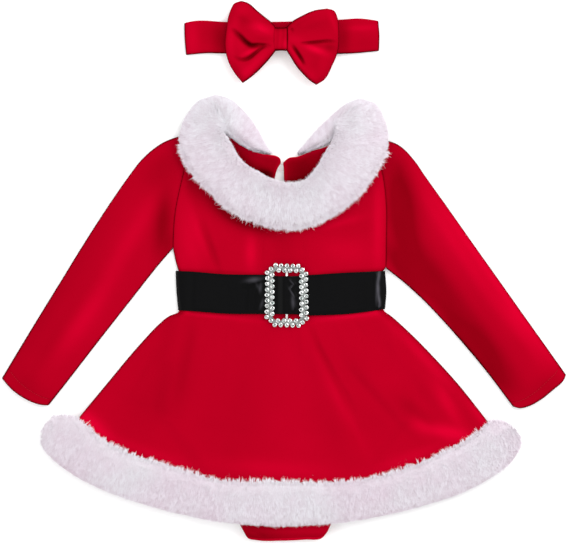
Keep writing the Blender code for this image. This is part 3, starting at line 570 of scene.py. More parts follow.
front_top = Edge(SHOULDER_LEFT, NECK_FRONT, SHOULDER_RIGHT)
front_u = front_top.shares(112)[None, :]
front_v = np.union1d(side_left.shares(100), side_right.corners)[:, None]
front_grid = patch(front_top, WAIST, side_left, side_right)(front_u, front_v)
x, y = front_grid[..., 0], front_grid[..., 1]
from_side = np.minimum(front_u, 1 - front_u) + 0 * front_v
armhole_end = side_left.corners[1] * (1 - front_u) + side_right.corners[1] * front_u
at_side = seam_height(front_v / armhole_end) - VELVET - LAYER_GAP - VELVET / 2
loft = at_side + (BODICE_LOFT - at_side) * smoothstep(from_side / 0.09)
at_shoulder = smoothstep((np.hypot((x - 281) / 85, (y - 131) / 30) - 1.0) / -0.3)
loft = loft * (at_shoulder + (1 - at_shoulder) * smoothstep((y - 128) / 22))
beside_seams = inward(front_grid, top=False, bottom=False)
above_waist = inward(front_grid, left=False, right=False, top=False)
settled = smoothstep(beside_seams / 12) * smoothstep(above_waist / 10)
fullness = settled * (folds(x, y, FRONT_FOLDS) + 0.5 * np.sin(x / 13 + y / 31) * np.sin(y / 19))
sunk = SEAM_SINK * np.exp(-((beside_seams / 1.7) ** 2)) + 0.7 * np.exp(-((above_waist / 1.4) ** 2))
front_height = belt_lift(x, y) + VELVET + LAYER_GAP + np.maximum(1.12 * neck_lift(x, y), loft)
# Painted shade along the outline below the armholes.
front_painted_light = painted_light_patches(x, y, FRONT_PAINTED_LIGHT) - outline_shade(beside_seams) * (front_v > armhole_end)
bodice_front = laid_panel(
    "bodice_front_velvet",
    [(front_grid, front_height + fullness - sunk, inward(front_grid), front_painted_light)],
    VELVET,
    velvet,
)
stands_for(bodice_front, ["bodice_front"])


# Sleeves
# Each is one velvet piece closed by its underarm seam and set into the armhole, lying flat with its folds
# at the shoulder side and the underarm side. The cuff is turned up 12 mm and stitched.

SLEEVE_FOLD = 2.2  # half the height of a sleeve's rounded sides
CUFF_TURN = 12.0
SLEEVE_OUTER_LEFT = [(196, 131), (160.7, 143.5), (142.7, 158.2), (129.5, 175), (113.4, 198), (86, 240)]
SLEEVE_OUTER_LEFT += [(61.4, 280), (36.8, 320), (15.6, 355), (2.0, 377.8)]
SLEEVE_INNER_LEFT = [(173, 248), (163, 259.4), (130.3, 300.5), (94.3, 346.4), (61.3, 389), (48.6, 405)]
CUFF_LEFT = [(2.0, 377.8), (13.2, 389.7), (28, 399.4), (40.2, 404), (48.6, 405)]
SLEEVE_OUTER_RIGHT = [(366, 136), (400, 145.5), (414.2, 160), (424.6, 175), (446, 205), (470.6, 240)]
SLEEVE_OUTER_RIGHT += [(499, 280), (527.3, 320), (541.6, 340), (566, 374.5)]
SLEEVE_INNER_RIGHT = [(385.6, 267.6), (402, 280.5), (424.6, 301), (443.6, 321), (461.3, 341), (486, 370.6)]
SLEEVE_INNER_RIGHT += [(513, 406.4)]
CUFF_RIGHT = [(566, 374.5), (562.8, 380.4), (553, 389), (540, 399.2), (528, 405.6), (520, 407.6)]
CUFF_RIGHT += [(513, 406.4)]
# top x, top y, low x, low y, half width, height
SLEEVE_FOLDS = {
    "left": (
        (150, 178, 62, 330, 15, 1.2),
        (146, 232, 88, 318, 8, 0.9),
        (169, 206, 166, 246, 6, -1.6),
        (176, 160, 150, 176, 6, 0.6),
        (120, 236, 70, 322, 5, -0.5),
        (70, 330, 34, 380, 9, 0.7),
        (182, 146, 166, 152, 5, -0.5),
    ),
    "right": (
        (408, 170, 500, 318, 9, 2.0),
        (404, 190, 436, 288, 13, -1.4),
        (430, 270, 488, 356, 10, -1.2),
        (450, 300, 500, 372, 6, 0.5),
        (396, 176, 402, 250, 5, -0.8),
        (500, 330, 540, 378, 7, 0.6),
        (388, 150, 398, 172, 4, -0.5),
    ),
}
# Painted light and shade along each sleeve's folds and sides.
# x, y, half length, half width, turn, amount
SLEEVE_PAINTED_LIGHT = {
    "left": (
        (163, 222, 34, 9, 96, -0.85),
        (170, 245, 14, 6, 105, -0.4),
        (132, 236, 60, 9, 121, 0.3),
        (86, 318, 46, 10, 126, 0.4),
        (60, 330, 60, 8, 122, -0.2),
        (168, 150, 14, 6, 160, 0.1),
        (160, 170, 24, 16, 120, -0.35),
        (30, 388, 26, 12, 33, -0.25),
        (57, 290, 110, 17, 122, -0.33),
    ),
    "right": (
        (402, 205, 46, 14, 82, -1.25),
        (432, 275, 55, 13, 55, -0.75),
        (480, 352, 34, 14, 52, -1.1),
        (405, 270, 30, 9, 50, -0.9),
        (450, 318, 60, 8, 50, -0.4),
        (505, 385, 20, 14, 50, -0.4),
        (452, 238, 70, 11, 55, 0.5),
        (516, 322, 46, 9, 55, 0.45),
        (392, 152, 10, 5, 60, 0.2),
        (545, 386, 24, 12, 140, -0.3),
        (489, 272, 110, 4.5, 54.6, 0.5),
        (520, 345, 30, 8, 54, -0.15),
        (487, 337, 62, 9, 53, -0.26),
    ),
}


def tube_rings(at, fold, crown, foot, stations, layers, arcs):
    """Board points, heights and places across of a tube pressed flat. at(u, v) is its outline, u from one
    folded side to the other and v along it. fold is half the height of its rounded sides at each station,
    crown(x, y, u, v) how far its upper layer rises above them, and foot the height of its lower layer."""
    v = stations[:, None]
    fold = np.broadcast_to(fold, stations.shape)[:, None]
    ends = at(np.array([[0.0, 1.0]]), v)
    width = np.linalg.norm(ends[:, 1:] - ends[:, :1], axis=-1)
    turn = np.radians(np.linspace(90, -90, arcs + 2)[1:-1])
    layer = fold / width + layers * (1 - 2 * fold / width)
    side = fold * (1 - np.cos(turn)) / width
    u = np.concatenate([layer, 1 - side, layer[:, ::-1], side[:, ::-1]], axis=1)
    place = at(u, v)
    flat = np.ones_like(layers)
    z = foot + fold * (1 + np.concatenate([flat, np.sin(turn), -flat, np.sin(turn[::-1])]))
    upper = slice(0, len(layers))
    z[:, upper] += crown(place[:, upper, 0], place[:, upper, 1], layers[None, :], v)
    return place, z, u


def tube_shell(name, place, z, u, wall, finish, painted_light_and_shade, rims=(True, True), closed_end=False):
    """A tube of cloth as a closed shell. Its inner skin lies a wall inside its outer one, and the two bend to
    the middle of the wall at an open rim. With closed_end the last ring is a fold, flattened to a line. Shade
    is painted beside its folded sides, where u is 0 or 1, and beside its last ring."""
    points = board_to_frame(place[..., 0], place[..., 1], z) / MM
    around = np.roll(points, -1, axis=1) - np.roll(points, 1, axis=1)
    along = np.gradient(points, axis=0)
    outwards = np.cross(along, around)
    facing = np.sign(outwards[:, 1 : place.shape[1] // 3, 2].sum())
    outwards = outwards * facing
    if closed_end:
        outwards[-1] = points[-1] - points[-6]
        outwards[-1, :, 2] = 0
    outwards /= np.linalg.norm(outwards, axis=-1, keepdims=True)
    steps = np.linalg.norm(np.diff(points, axis=0), axis=-1)
    from_start = np.pad(np.cumsum(steps, axis=0), ((1, 0), (0, 0)))
    beside = np.full(z.shape, 1000.0)
    if rims[0]:
        beside = np.minimum(beside, from_start)
    if rims[1]:
        beside = np.minimum(beside, from_start[-1:] - from_start)
    half = half_wall(wall, beside)[..., None]
    middle = points - outwards * wall / 2
    rings, count = z.shape
    index = np.arange(rings * count).reshape(rings, count)
    ahead = np.roll(index, -1, axis=1)
    skin = np.stack([index[:-1], index[1:], ahead[1:], ahead[:-1]], axis=-1).reshape(-1, 4)
    if facing < 0:
        skin = skin[:, ::-1]
    both = np.stack([middle + outwards * half, middle - outwards * half]).reshape(-1, 3)
    width = np.linalg.norm(np.ptp(place, axis=1), axis=-1)[:, None]
    from_outline = np.minimum(np.minimum(u, 1 - u) * width, from_start[-1:] - from_start)
    painted_light_and_shade = (painted_light_and_shade - outline_shade(from_outline)).ravel()
    painted_shading = {"painted_light_and_shade": np.concatenate([painted_light_and_shade, painted_light_and_shade])}
    made = put_mesh(name, both * MM, [skin, skin[:, ::-1] + rings * count], [finish], painted_shading)
    return shaded_sides(weld(made))


def stitches(name, points, pitch, length, radius, finish):
    """A row of machine stitches along board points and heights, each a small bead of thread drawn out along
    the row: four rings of eight points, slim at both ends."""
    points = np.asarray(points, float)
    run = np.pad(np.cumsum(np.linalg.norm(np.diff(points, axis=0), axis=1)), (1, 0))
    places = np.arange(pitch / 2, run[-1], pitch)
    centre = np.stack([np.interp(places, run, points[:, i]) for i in range(3)], axis=-1)
    ahead = np.stack([np.interp(places + 0.5, run, points[:, i]) for i in range(3)], axis=-1) - centre
    ahead = np.where(np.linalg.norm(ahead, axis=1, keepdims=True) > 1e-6, ahead, [[1.0, 0, 0]])
    ahead /= np.linalg.norm(ahead, axis=1, keepdims=True)
    beside = np.cross(ahead, (0, 0, 1.0))
    over = np.cross(beside, ahead)
    turn = np.linspace(0, 2 * np.pi, 8, endpoint=False)
    along = np.array([-0.5, -0.3, 0.3, 0.5]) * length
    size = np.array([0.25, 1.0, 1.0, 0.25]) * radius
    ring = centre[:, None, None] + along[:, None, None] * ahead[:, None, None]
    ring = ring + (size[:, None] * np.cos(turn))[..., None] * beside[:, None, None]
    ring = ring + (size[:, None] * np.sin(turn))[..., None] * over[:, None, None]
    index = np.arange(32).reshape(4, 8)
    around = np.roll(index, -1, axis=1)
    skin = np.stack([index[:-1], around[:-1], around[1:], index[1:]], axis=-1).reshape(-1, 4)
    start = np.arange(len(places))[:, None, None] * 32
    caps = np.stack([index[0, ::-1], index[-1]])
    points = board_to_frame(ring[..., 0], ring[..., 1], ring[..., 2]).reshape(-1, 3)
    faces = [(skin[None] + start).reshape(-1, 4), (caps[None] + start).reshape(-1, 8)]
    return put_mesh(name, points, faces, [finish])


seam_thread = plain_finish("red_thread", (0.42, 0.001, 0.014), 0.6, specular=0.25, cloudiness=0.2)

for side, armhole, outer, inner, cuff in (
    ("left", ARMHOLE_LEFT, SLEEVE_OUTER_LEFT, SLEEVE_INNER_LEFT, CUFF_LEFT),
    ("right", ARMHOLE_RIGHT, SLEEVE_OUTER_RIGHT, SLEEVE_INNER_RIGHT, CUFF_RIGHT),
):
    outer_fold, inner_fold = Edge(outer), Edge(inner)
    outline = patch(Edge(armhole), Edge(cuff), outer_fold, inner_fold)
    close = CUFF_TURN + np.array([-1.2, -0.6, 0.0, 0.6, 1.2])
    stations = np.union1d(outer_fold.shares(106), 1 - close / outer_fold.length)

    def sleeve_crown(x, y, u, v, side=side, outer_fold=outer_fold):
        """A low crown, a parabola across and 2.4 mm high, with soft folds. It sinks into the armhole seam,
        where it is level with the bodice, and the cuff's turn and its stitching show in it."""
        from_armhole = v * outer_fold.length
        from_cuff = (1 - v) * outer_fold.length
        body = 2.4 * (1 - (2 * u - 1) ** 2) + 0.35 * np.sin(from_armhole / 21 + 5 * u)
        body = body + folds(x, y, SLEEVE_FOLDS[side]) * smoothstep(np.minimum(u, 1 - u) / 0.12)
        at_seam = seam_height(u) - 2 * SLEEVE_FOLD + VELVET / 2
        at_seam = np.maximum(at_seam * smoothstep(np.minimum(u, 1 - u) / 0.06), -0.6)
        crown = at_seam + (body - at_seam) * smoothstep(from_armhole / 26)
        crown = crown - SEAM_SINK * np.exp(-((from_armhole / 1.7) ** 2))
        turned = 0.25 * smoothstep((CUFF_TURN - from_cuff) / 1.0)
        return crown + turned - 0.35 * np.exp(-(((from_cuff - CUFF_TURN) / 0.6) ** 2))

    layers = np.linspace(0, 1, 48)
    place, z, u = tube_rings(outline, SLEEVE_FOLD, sleeve_crown, 0.0, stations, layers, 8)
    # Painted light and shade on the sleeve.
    painted_light_and_shade = painted_light_patches(place[..., 0], place[..., 1], SLEEVE_PAINTED_LIGHT[side])
    sleeve = tube_shell(f"sleeve_{side}_velvet", place, z, u, VELVET, velvet, painted_light_and_shade)
    stands_for(sleeve, [f"sleeve_{side}"])
    sleeve_area = 2 * cut_size(outline(layers[None, :], stations[:, None]))[1]

    row = np.argmin(np.abs(stations - (1 - CUFF_TURN / outer_fold.length)))
    across = slice(2, 46)  # the upper layer, clear of both sides
    thread_line = np.column_stack([place[row, across], z[row, across] + 0.05])
    thread = stitches(
        f"cuff_{side}_stitches", thread_line, pitch=2.6, length=1.9, radius=0.19, finish=seam_thread
    )
    stands_for(thread, [])


# Fur collar
# White fur cloth folded over a soft core and sewn round the neckline: one stretch round the front, and two
# at the back that end at the slit. The pile is mostly 4 to 6 mm long, combed outwards and down, and longer
# wisps stand out along its lower edge and at the neck.

COLLAR_FOOT = 7.6  # how high the collar's front lies, on the bodice
# outer x, outer y, inner x, inner y, foot, height
COLLAR_FRONT = (
    (214, 95, 219, 113, 0, 15),
    (198, 100, 219, 117, 0, 17),
    (187, 112, 219.6, 121, 0.5, 19),
    (180, 126, 220.4, 127, COLLAR_FOOT, 16),
    (177, 138, 223, 133, COLLAR_FOOT, 17),
    (178, 150, 227, 138, COLLAR_FOOT, 17),
    (184, 166, 232, 146, COLLAR_FOOT, 17),
    (194, 181, 237, 154.4, COLLAR_FOOT, 17),
    (207, 194, 243.6, 162.2, COLLAR_FOOT, 17),
    (227, 214, 256, 169.8, COLLAR_FOOT, 17),
    (253, 226, 269, 176, COLLAR_FOOT, 17),
    (281, 232, 283, 180, COLLAR_FOOT, 17),
    (305, 230.5, 294, 180, COLLAR_FOOT, 17),
    (331, 220, 304, 177, COLLAR_FOOT, 17),
    (350, 206, 312, 170, COLLAR_FOOT, 17),
    (362, 195, 318, 163, COLLAR_FOOT, 17),
    (374, 178, 323, 155, COLLAR_FOOT, 17),
    (382, 164, 328, 148, COLLAR_FOOT, 17),
    (387, 153, 332, 142, COLLAR_FOOT, 17),
    (389, 140, 335, 134, COLLAR_FOOT, 16),
    (387.5, 127, 338, 127, 5.5, 16),
    (384, 116, 341, 120, 0.5, 18),
    (377, 104.5, 344, 115.5, 0, 17),
    (364, 99.5, 347, 112, 0, 15),
)
COLLAR_BACK = {
    "left": (
        (207, 97, 219, 116, 0, 15),
        (214.6, 94.8, 219.6, 112.6, 0, 16),
        (228, 98, 222, 121.4, 0, 17),
        (241, 107.5, 226.4, 131, 0, 16),
        (250, 118, 232.8, 137, 0, 14),
        (258, 130, 241.6, 144.2, 0, 12),
        (264, 141, 251.4, 149.2, 0, 11),
        (269, 149, 262.4, 152, 0, 9),
        (272, 152.6, 268.6, 153.6, 0, 7),
    ),
    "right": (
        (371, 101.5, 345, 115, 0, 15),
        (363.4, 99.2, 346.4, 111.6, 0, 16),
        (352, 101.5, 340, 119.6, 0, 17),
        (340, 109, 335.2, 129.6, 0, 16),
        (330, 117.5, 330, 139.6, 0, 14),
        (320, 127, 321.4, 145.4, 0, 12),
        (311, 137, 311.6, 149.4, 0, 11),
        (304, 146, 303, 152.6, 0, 9),
        (299, 152, 297, 154.8, 0, 7),
    ),
}
PILE_DEPTH = 2.4  # from the tips down to the cloth
STRAND_WIDTH = 0.34  # a strand here stands for a few real hairs
# columns of what is known at each point of a fur cloth
PLACE, NORMAL, COMB = slice(0, 3), slice(3, 6), slice(6, 9)
ACROSS, ALONG, OUTER_TUFTS, INNER_TUFTS = 9, 10, 11, 12
TUFT_ROWS, TUFT_COLUMNS = 400, 60  # after which the tufts' lattice repeats


def spaced(amounts, share):
    """A row of amounts spaced evenly along a roll, read at shares of its length."""
    return np.interp(share, np.linspace(0, 1, len(amounts)), amounts)


def fur_cloth(rungs, end_rounds, insets, rows=112, columns=33, hanging=False, joined=(0.0, 0.0)):
    """The cloth under the pile, as a grid of board points with heights. Each row is a rung. Its section is a
    D on its flat side: across it goes as the cosine to the power 0.7, and up as the sine to the power 0.8. It
    lies inside the fur's reach: lower by PILE_DEPTH, though never under 0.45 of the height, and narrower by
    two rows of insets at its outer and inner edge. It shrinks as a quarter circle over end_rounds. A hanging
    roll has its flat side uppermost. Over the joined lengths from its ends the inner edge stays at full
    height, where it meets the next stretch of the collar."""
    run = smooth_run(rungs, steps=10)
    middle = (run[:, :2] + run[:, 2:4]) / 2
    length = np.pad(np.cumsum(np.linalg.norm(np.diff(middle, axis=0), axis=1)), (1, 0))
    places = np.linspace(0, length[-1], rows)
    outer_x, outer_y, inner_x, inner_y, foot, height = (np.interp(places, length, line) for line in run.T)
    outer, inner = np.stack([outer_x, outer_y], axis=-1), np.stack([inner_x, inner_y], axis=-1)
    width = np.linalg.norm(inner - outer, axis=1, keepdims=True)
    inwards = (inner - outer) / width
    outer_inset, inner_inset = (spaced(amounts, places / places[-1])[:, None] for amounts in insets)
    outer = outer + np.minimum(outer_inset, 0.28 * width) * inwards
    inner = inner - np.minimum(inner_inset, 0.28 * width) * inwards
    shrink = np.ones(rows)
    for round_over, from_end in zip(end_rounds, (places, places[-1] - places)):
        shrink = shrink * np.sqrt(1 - (1 - np.clip((from_end + 0.3) / round_over, 0, 1)) ** 2)
    centre, half = (outer + inner) / 2, (inner - outer) / 2 * shrink[:, None]
    outer, inner = centre - half, centre + half
    height = np.maximum(height - PILE_DEPTH, 0.45 * height) * shrink
    t = 0.5 - 0.5 * np.cos(np.linspace(0.06, 0.94, columns) * np.pi)
    turn = np.pi * t
    shoulder = 0.5 - 0.5 * np.sign(np.cos(turn)) * np.abs(np.cos(turn)) ** 0.7
    rise = np.sin(turn) ** 0.8 + np.zeros((rows, 1))
    for reach, from_end in zip(joined, (places, places[-1] - places)):
        kept = smoothstep((reach - from_end) / 9)[:, None] * (t > 0.5)
        rise = rise + (0.985 - rise) * kept
    place = outer[:, None] + shoulder[None, :, None] * (inner - outer)[:, None]
    up = foot[:, None] + height[:, None] * rise
    if hanging:
        up = foot[:, None] + 0.8 + height[:, None] * (1 - rise)
    return np.concatenate([place, up[..., None]], axis=-1)


def evenly_lit(normals):
    """Directions most of the way to straight up, 0.35 of the normal with 0.8 upwards, because light spreads
    through fur and reaches its sides."""
    facing = 0.35 * normals + (0, 0, 0.8)
    return facing / np.linalg.norm(facing, axis=1, keepdims=True)


def fur_core(name, cloth, finish, hanging=False):
    """The fur cloth as a closed roll: its grid, a flat side between the grid's long edges, and two ends."""
    rows, columns = cloth.shape[:2]
    share = np.linspace(1, 0, 7)[1:-1, None]
    flat_side = cloth[:, :1] + share[None] * (cloth[:, -1:] - cloth[:, :1]) * (1, 1, 0)
    ring = np.concatenate([cloth, flat_side], axis=1)
    count = ring.shape[1]
    points = board_to_frame(ring[..., 0], ring[..., 1], ring[..., 2]).reshape(-1, 3)
    index = np.arange(rows * count).reshape(rows, count)
    ahead = np.roll(index, -1, axis=1)
    skin = np.stack([index[:-1], index[1:], ahead[1:], ahead[:-1]], axis=-1).reshape(-1, 4)
    faces = [skin, index[:1], index[-1:, ::-1]]
    middle = index[0, columns // 2]
    along, across = points[middle + count] - points[middle], points[middle + 1] - points[middle]
    upwards = np.cross(along, across)[2] > 0
    if upwards == hanging:
        faces = [part[:, ::-1] for part in faces]
    # The core takes a middling pile value: painted shade, as deep in the fur.
    values = {"pile": np.full(len(points), 0.45), "tuft": np.full(len(points), 0.5)}
    made = weld(put_mesh(name, points, faces, [finish], values))
    normals = np.empty(len(made.data.vertices) * 3, np.float32)
    made.data.vertex_normals.foreach_get("vector", normals)
    made.data.normals_split_custom_set_from_vertices(evenly_lit(normals.reshape(-1, 3)))
    return made


def pile(
    name,
    cloth,
    finish,
    count,
    seed,
    parting,
    tufted,
    spacing=2.6,
    lowest=0.1,
    lengths=(4.0, 2.0),
    upright=0.34,
    droop=0.3,
    shaded=(0.0, 0.0),
    ruffled=0.12,
):
    """Strands of fur on a grid of cloth. Roots fall evenly by area. A strand is a tapered ribbon of three
    rings. It leaves along the cloth's normal, upright of its length, and bends to its comb, away from the
    parting, which is a share of the way across. Each strand has its own parting, spread by the ruffled
    share, so that strands cross over it, and droops no more than it is told to. Strands lean to the tip of
    their tuft, the nearest of a jittered lattice of tufts: a little all over, and more within a bell of
    0.18 of the way across at the outer and inner edge, by two rows of amounts spaced along the roll. One
    strand in fourteen is a long loose hair. A strand is darker towards its root, as painted shade deep in
    the fur, and some by the tufted edges are darker at random. The shaded amounts paint shade on the two
    long edges, or painted light below 0, as a bell of an eighth of the way across."""
    rng = np.random.default_rng(seed)
    ground = board_to_frame(cloth[..., 0], cloth[..., 1], cloth[..., 2]) / MM
    rows, columns = ground.shape[:2]
    down, across = np.gradient(ground, axis=0), np.gradient(ground, axis=1)
    normal = np.cross(down, across)
    outside = ground - ground.mean(axis=1, keepdims=True)
    normal *= np.sign((normal * outside).sum(axis=(1, 2)))[:, None, None]
    normal /= np.linalg.norm(normal, axis=-1, keepdims=True) + 1e-9
    across_way = across / (np.linalg.norm(across, axis=-1, keepdims=True) + 1e-9)
    share = np.cumsum(np.linalg.norm(across, axis=-1), axis=1)
    share = (share - share[:, :1]) / (share[:, -1:] - share[:, :1])
    run = np.cumsum(np.linalg.norm(down, axis=-1), axis=0)
    girth = np.linalg.norm(across, axis=-1).sum(axis=1).mean()
    centre = columns // 2
    run_middle = run[:, centre : centre + 1] + 0 * run
    outer_tufts, inner_tufts = (spaced(amounts, run_middle / run_middle.max()) for amounts in tufted)
    scalars = np.stack([share * girth, run_middle, outer_tufts, inner_tufts], axis=-1)
    fields = np.concatenate([ground, normal, across_way, scalars], axis=-1)

    def sampled(row, column):
        """The fields at fractional rows and columns of the grid."""
        row, column = np.clip(row, 0, rows - 1.001), np.clip(column, 0, columns - 1.001)
        i, j = row.astype(int), column.astype(int)
        a, b = (row - i)[:, None], (column - j)[:, None]
        first = fields[i, j] * (1 - b) + fields[i, j + 1] * b
        return first * (1 - a) + (fields[i + 1, j] * (1 - b) + fields[i + 1, j + 1] * b) * a

    area = np.linalg.norm(np.cross(down, across), axis=-1)[:-1, :-1].ravel()
    cell = np.searchsorted(np.cumsum(area) / area.sum(), rng.random(count))
    row = cell // (columns - 1) + rng.random(count)
    column = cell % (columns - 1) + rng.random(count)
    root = sampled(row, column)
    lattice = rng.random((TUFT_ROWS, TUFT_COLUMNS, 4))
    tuft_row, tuft_column = root[:, ALONG] / spacing, root[:, ACROSS] / spacing
    best = np.full(count, 1e9)
    near = np.zeros((count, 2))
    traits = np.zeros((count, 4))
    for step_row in (-1, 0, 1):
        for step_column in (-1, 0, 1):
            i = np.floor(tuft_row).astype(int) + step_row
            j = np.floor(tuft_column).astype(int) + step_column
            own = lattice[i % TUFT_ROWS, j % TUFT_COLUMNS]
            place = np.stack([i + own[:, 0], j + own[:, 1]], axis=-1)
            distance = (place[:, 0] - tuft_row) ** 2 + (place[:, 1] - tuft_column) ** 2
            closer = distance < best
            best[closer], near[closer], traits[closer] = distance[closer], place[closer], own[closer]
    row_of_run = np.interp(near[:, 0] * spacing, run[:, centre], np.arange(rows))
    column_of_share = np.interp(near[:, 1] * spacing, share[rows // 2] * girth, np.arange(columns))
    tuft = sampled(row_of_run, column_of_share)
    own_parting = parting + ruffled * rng.normal(size=count)
    for place in (root, tuft):
        place[:, COMB] *= np.tanh((place[:, ACROSS] / girth - own_parting) / 0.1)[:, None]
    foot, outwards, combed = root[:, PLACE], root[:, NORMAL], root[:, COMB]
    sideways = np.cross(outwards, combed)
    long = lengths[0] + lengths[1] * traits[:, 2:3] * (0.6 + 0.4 * rng.random((count, 1)))
    place_across = root[:, ACROSS, None] / girth
    outer_edge = root[:, OUTER_TUFTS, None] * np.exp(-((place_across / 0.18) ** 2))
    edge = outer_edge + root[:, INNER_TUFTS, None] * np.exp(-(((1 - place_across) / 0.18) ** 2))
    loose = rng.random((count, 1)) < 1 / 14
    long = long * (1 + 0.6 * edge * (2 * traits[:, 2:3] - 0.7)) * (1 + 0.35 * loose)
    lean = (0.2 + 0.25 * edge) * rng.normal(size=(count, 1)) * sideways
    tuft_lean = (0.25 + 0.7 * edge) * (traits[:, 3:4] - 0.5) * sideways
    flow = 1.05 - 0.6 * upright
    own_way = upright * outwards + flow * combed + lean + tuft_lean
    tuft_way = upright * tuft[:, NORMAL] + flow * tuft[:, COMB] + tuft_lean
    own_way[:, 2], tuft_way[:, 2] = np.maximum(own_way[:, 2], -droop), np.maximum(tuft_way[:, 2], -droop)
    own_tip, tuft_tip = foot + long * own_way, tuft[:, PLACE] + long * tuft_way
    gathered = (0.1 + 0.12 * rng.random((count, 1)) + 0.62 * edge) * ~loose
    tip = own_tip * (1 - gathered) + tuft_tip * gathered
    bend = foot + long * (upright * outwards + 0.25 * combed + 0.3 * lean)
    half_way = 0.25 * foot + 0.5 * bend + 0.25 * tip
    tip[:, 2] = np.maximum(tip[:, 2], lowest + rng.random(count) * 1.2)
    half_way[:, 2] = np.maximum(half_way[:, 2], lowest)
    wide = np.cross(tip - foot, outwards) + 0.4 * rng.normal(size=(count, 3))
    wide /= np.linalg.norm(wide, axis=1, keepdims=True) + 1e-9
    wide *= STRAND_WIDTH / 2 * (0.7 + 0.6 * rng.random((count, 1)))
    facing = outwards + 0.25 * (tip - foot) / long + 0.14 * rng.normal(size=(count, 3))
    facing = evenly_lit(facing)
    wide *= np.sign((np.cross(wide, tip - foot) * facing).sum(axis=1, keepdims=True) + 1e-9)
    sunk = foot - 0.4 * outwards
    slim = 0.85 * wide
    strand = np.stack([sunk - wide, sunk + wide, half_way + slim, half_way - slim, tip], axis=1)
    start = np.arange(count)[:, None] * 5
    faces = [start + np.array([[0, 1, 2, 3]]), start + np.array([[3, 2, 4]])]
    # Random darker strands by the tufted edges, and the edges' painted shade or painted light.
    shade = 0.7 * edge * rng.random((count, 1)) ** 2 + shaded[0] * np.exp(-((place_across / 0.12) ** 2))
    shade = shade + shaded[1] * np.exp(-(((1 - place_across) / 0.12) ** 2))
    # The pile value: painted shade at the root, 0.2, up to the bright tip, 1.
    values = {
        "pile": (np.array([0.2, 0.2, 0.6, 0.6, 1.0]) - shade).ravel(),
        "tuft": np.repeat(0.6 * traits[:, 2] + 0.4 * rng.random(count), 5),
    }
    made = put_mesh(name, strand.reshape(-1, 3) * MM, faces, [finish], values)
    made.data.normals_split_custom_set_from_vertices(np.repeat(facing, 5, axis=0))
    return made


def fur_finish():
    """White fur, faintly pink and grey at its roots as painted shade, brighter at its tips, tuft by tuft."""
    made, tree, shader = new_finish("white_fur")
    # The pile value: painted shade towards the root.
    depth = node(tree, "ShaderNodeAttribute", attribute_name="pile").outputs["Fac"]
    tuft = node(tree, "ShaderNodeAttribute", attribute_name="tuft").outputs["Fac"]
    tuft_tone_and_painted_root_shade = weighed(tree, 0.06, 0.46, tuft)
    tuft_tone_and_painted_root_shade = weighed(tree, tuft_tone_and_painted_root_shade, 0.54, depth)
    # Painted shade deep in the pile, then the fur's own white.
    roots = [(0.0, (0.45, 0.36, 0.41)), (0.34, (0.72, 0.65, 0.70))]
    stops = [*roots, (0.62, (0.80, 0.763, 0.81)), (0.92, (0.88, 0.87, 0.912))]
    blush = colours(tree, grain(tree, 16.0, 2.0), [(0.35, (0.985, 0.915, 0.95)), (0.65, (1.0, 1.0, 1.0))])
    mixed = node(tree, "ShaderNodeMix", data_type="RGBA", blend_type="MULTIPLY")
    mixed.inputs["Factor"].default_value = 1.0
    tree.links.new(colours(tree, tuft_tone_and_painted_root_shade, stops), mixed.inputs[6])
    tree.links.new(blush, mixed.inputs[7])
    tree.links.new(mixed.outputs[2], shader.inputs["Base Color"])
    shader.inputs["Roughness"].default_value = 0.85
    shader.inputs["Specular IOR Level"].default_value = 0.12
    return made


white_fur = fur_finish()
# Insets, tufts and wisps are amounts spaced along the roll, at its first edge and at its second.
COLLAR_INSETS = ((2.0, 4.2, 6.0, 7.6, 6.2, 5.6, 4.8, 3.0, 2.0), (-2, 0.2, 1.2, 1.8, 3.4, 4.4, 2.4, 0.4, -2))
front_cloth = fur_cloth(COLLAR_FRONT, (1.0, 1.0), COLLAR_INSETS, joined=(33.0, 33.0))
collar_core = fur_core("collar_front_fur", front_cloth, white_fur)
stands_for(collar_core, ["collar_front"])
FRONT_TUFTS = ((0.0, 0.15, 0.4, 0.9, 1.0, 0.9, 0.5, 0.3, 0.0), (0.0, 0.0, 0.1, 0.0, 0.0))
collar_pile = pile(
    "collar_front_pile",
    front_cloth,
    white_fur,
    count=46000,
    seed=11,
    parting=0.84,
    tufted=FRONT_TUFTS,
    lowest=0.3,
    # Painted shade along the outer edge.
    shaded=(0.5, 0.0),
)
stands_for(collar_pile, [])
LOWER_WISPS = ((0.2, 0.8, 1.0, 0.8, 0.2), (0.0, 0.0))
BELOW_SHOULDERS = (slice(16, 96), slice(0, 9))  # rows along the collar, and columns from its outer edge
lower_wisps = pile(
    "collar_lower_wisps",
    front_cloth[BELOW_SHOULDERS],
    white_fur,
    count=4200,
    seed=12,
    parting=1.2,
    tufted=LOWER_WISPS,
    spacing=2.8,
    lengths=(4.0, 5.4),
    upright=0.6,
    droop=0.1,
)
stands_for(lower_wisps, [])
NECK_WISPS = ((0.0, 0.0), (0.2, 0.9, 0.9, 0.8, 0.7, 0.2))
RIGHT_OF_SLIT = (slice(50, 86), slice(-12, None))  # rows along the collar, and columns at its inner edge
neck_wisps = pile(
    "collar_neck_wisps",
    front_cloth[RIGHT_OF_SLIT],
    white_fur,
    count=700,
    seed=13,
    parting=-0.2,
    tufted=NECK_WISPS,
    spacing=1.6,
    lengths=(2.6, 2.4),
    upright=0.7,
    droop=0.0,
)
stands_for(neck_wisps, [])
BACK_TUFTS = ((0.0, 0.0), (0.0, 0.0))
BACK_INSETS = ((2.0, 2.0), (-3.5, -3.5, -1.0, 1.0, 1.0, 1.0))
AT_NECKLINE = (slice(4, 50), slice(-13, None))
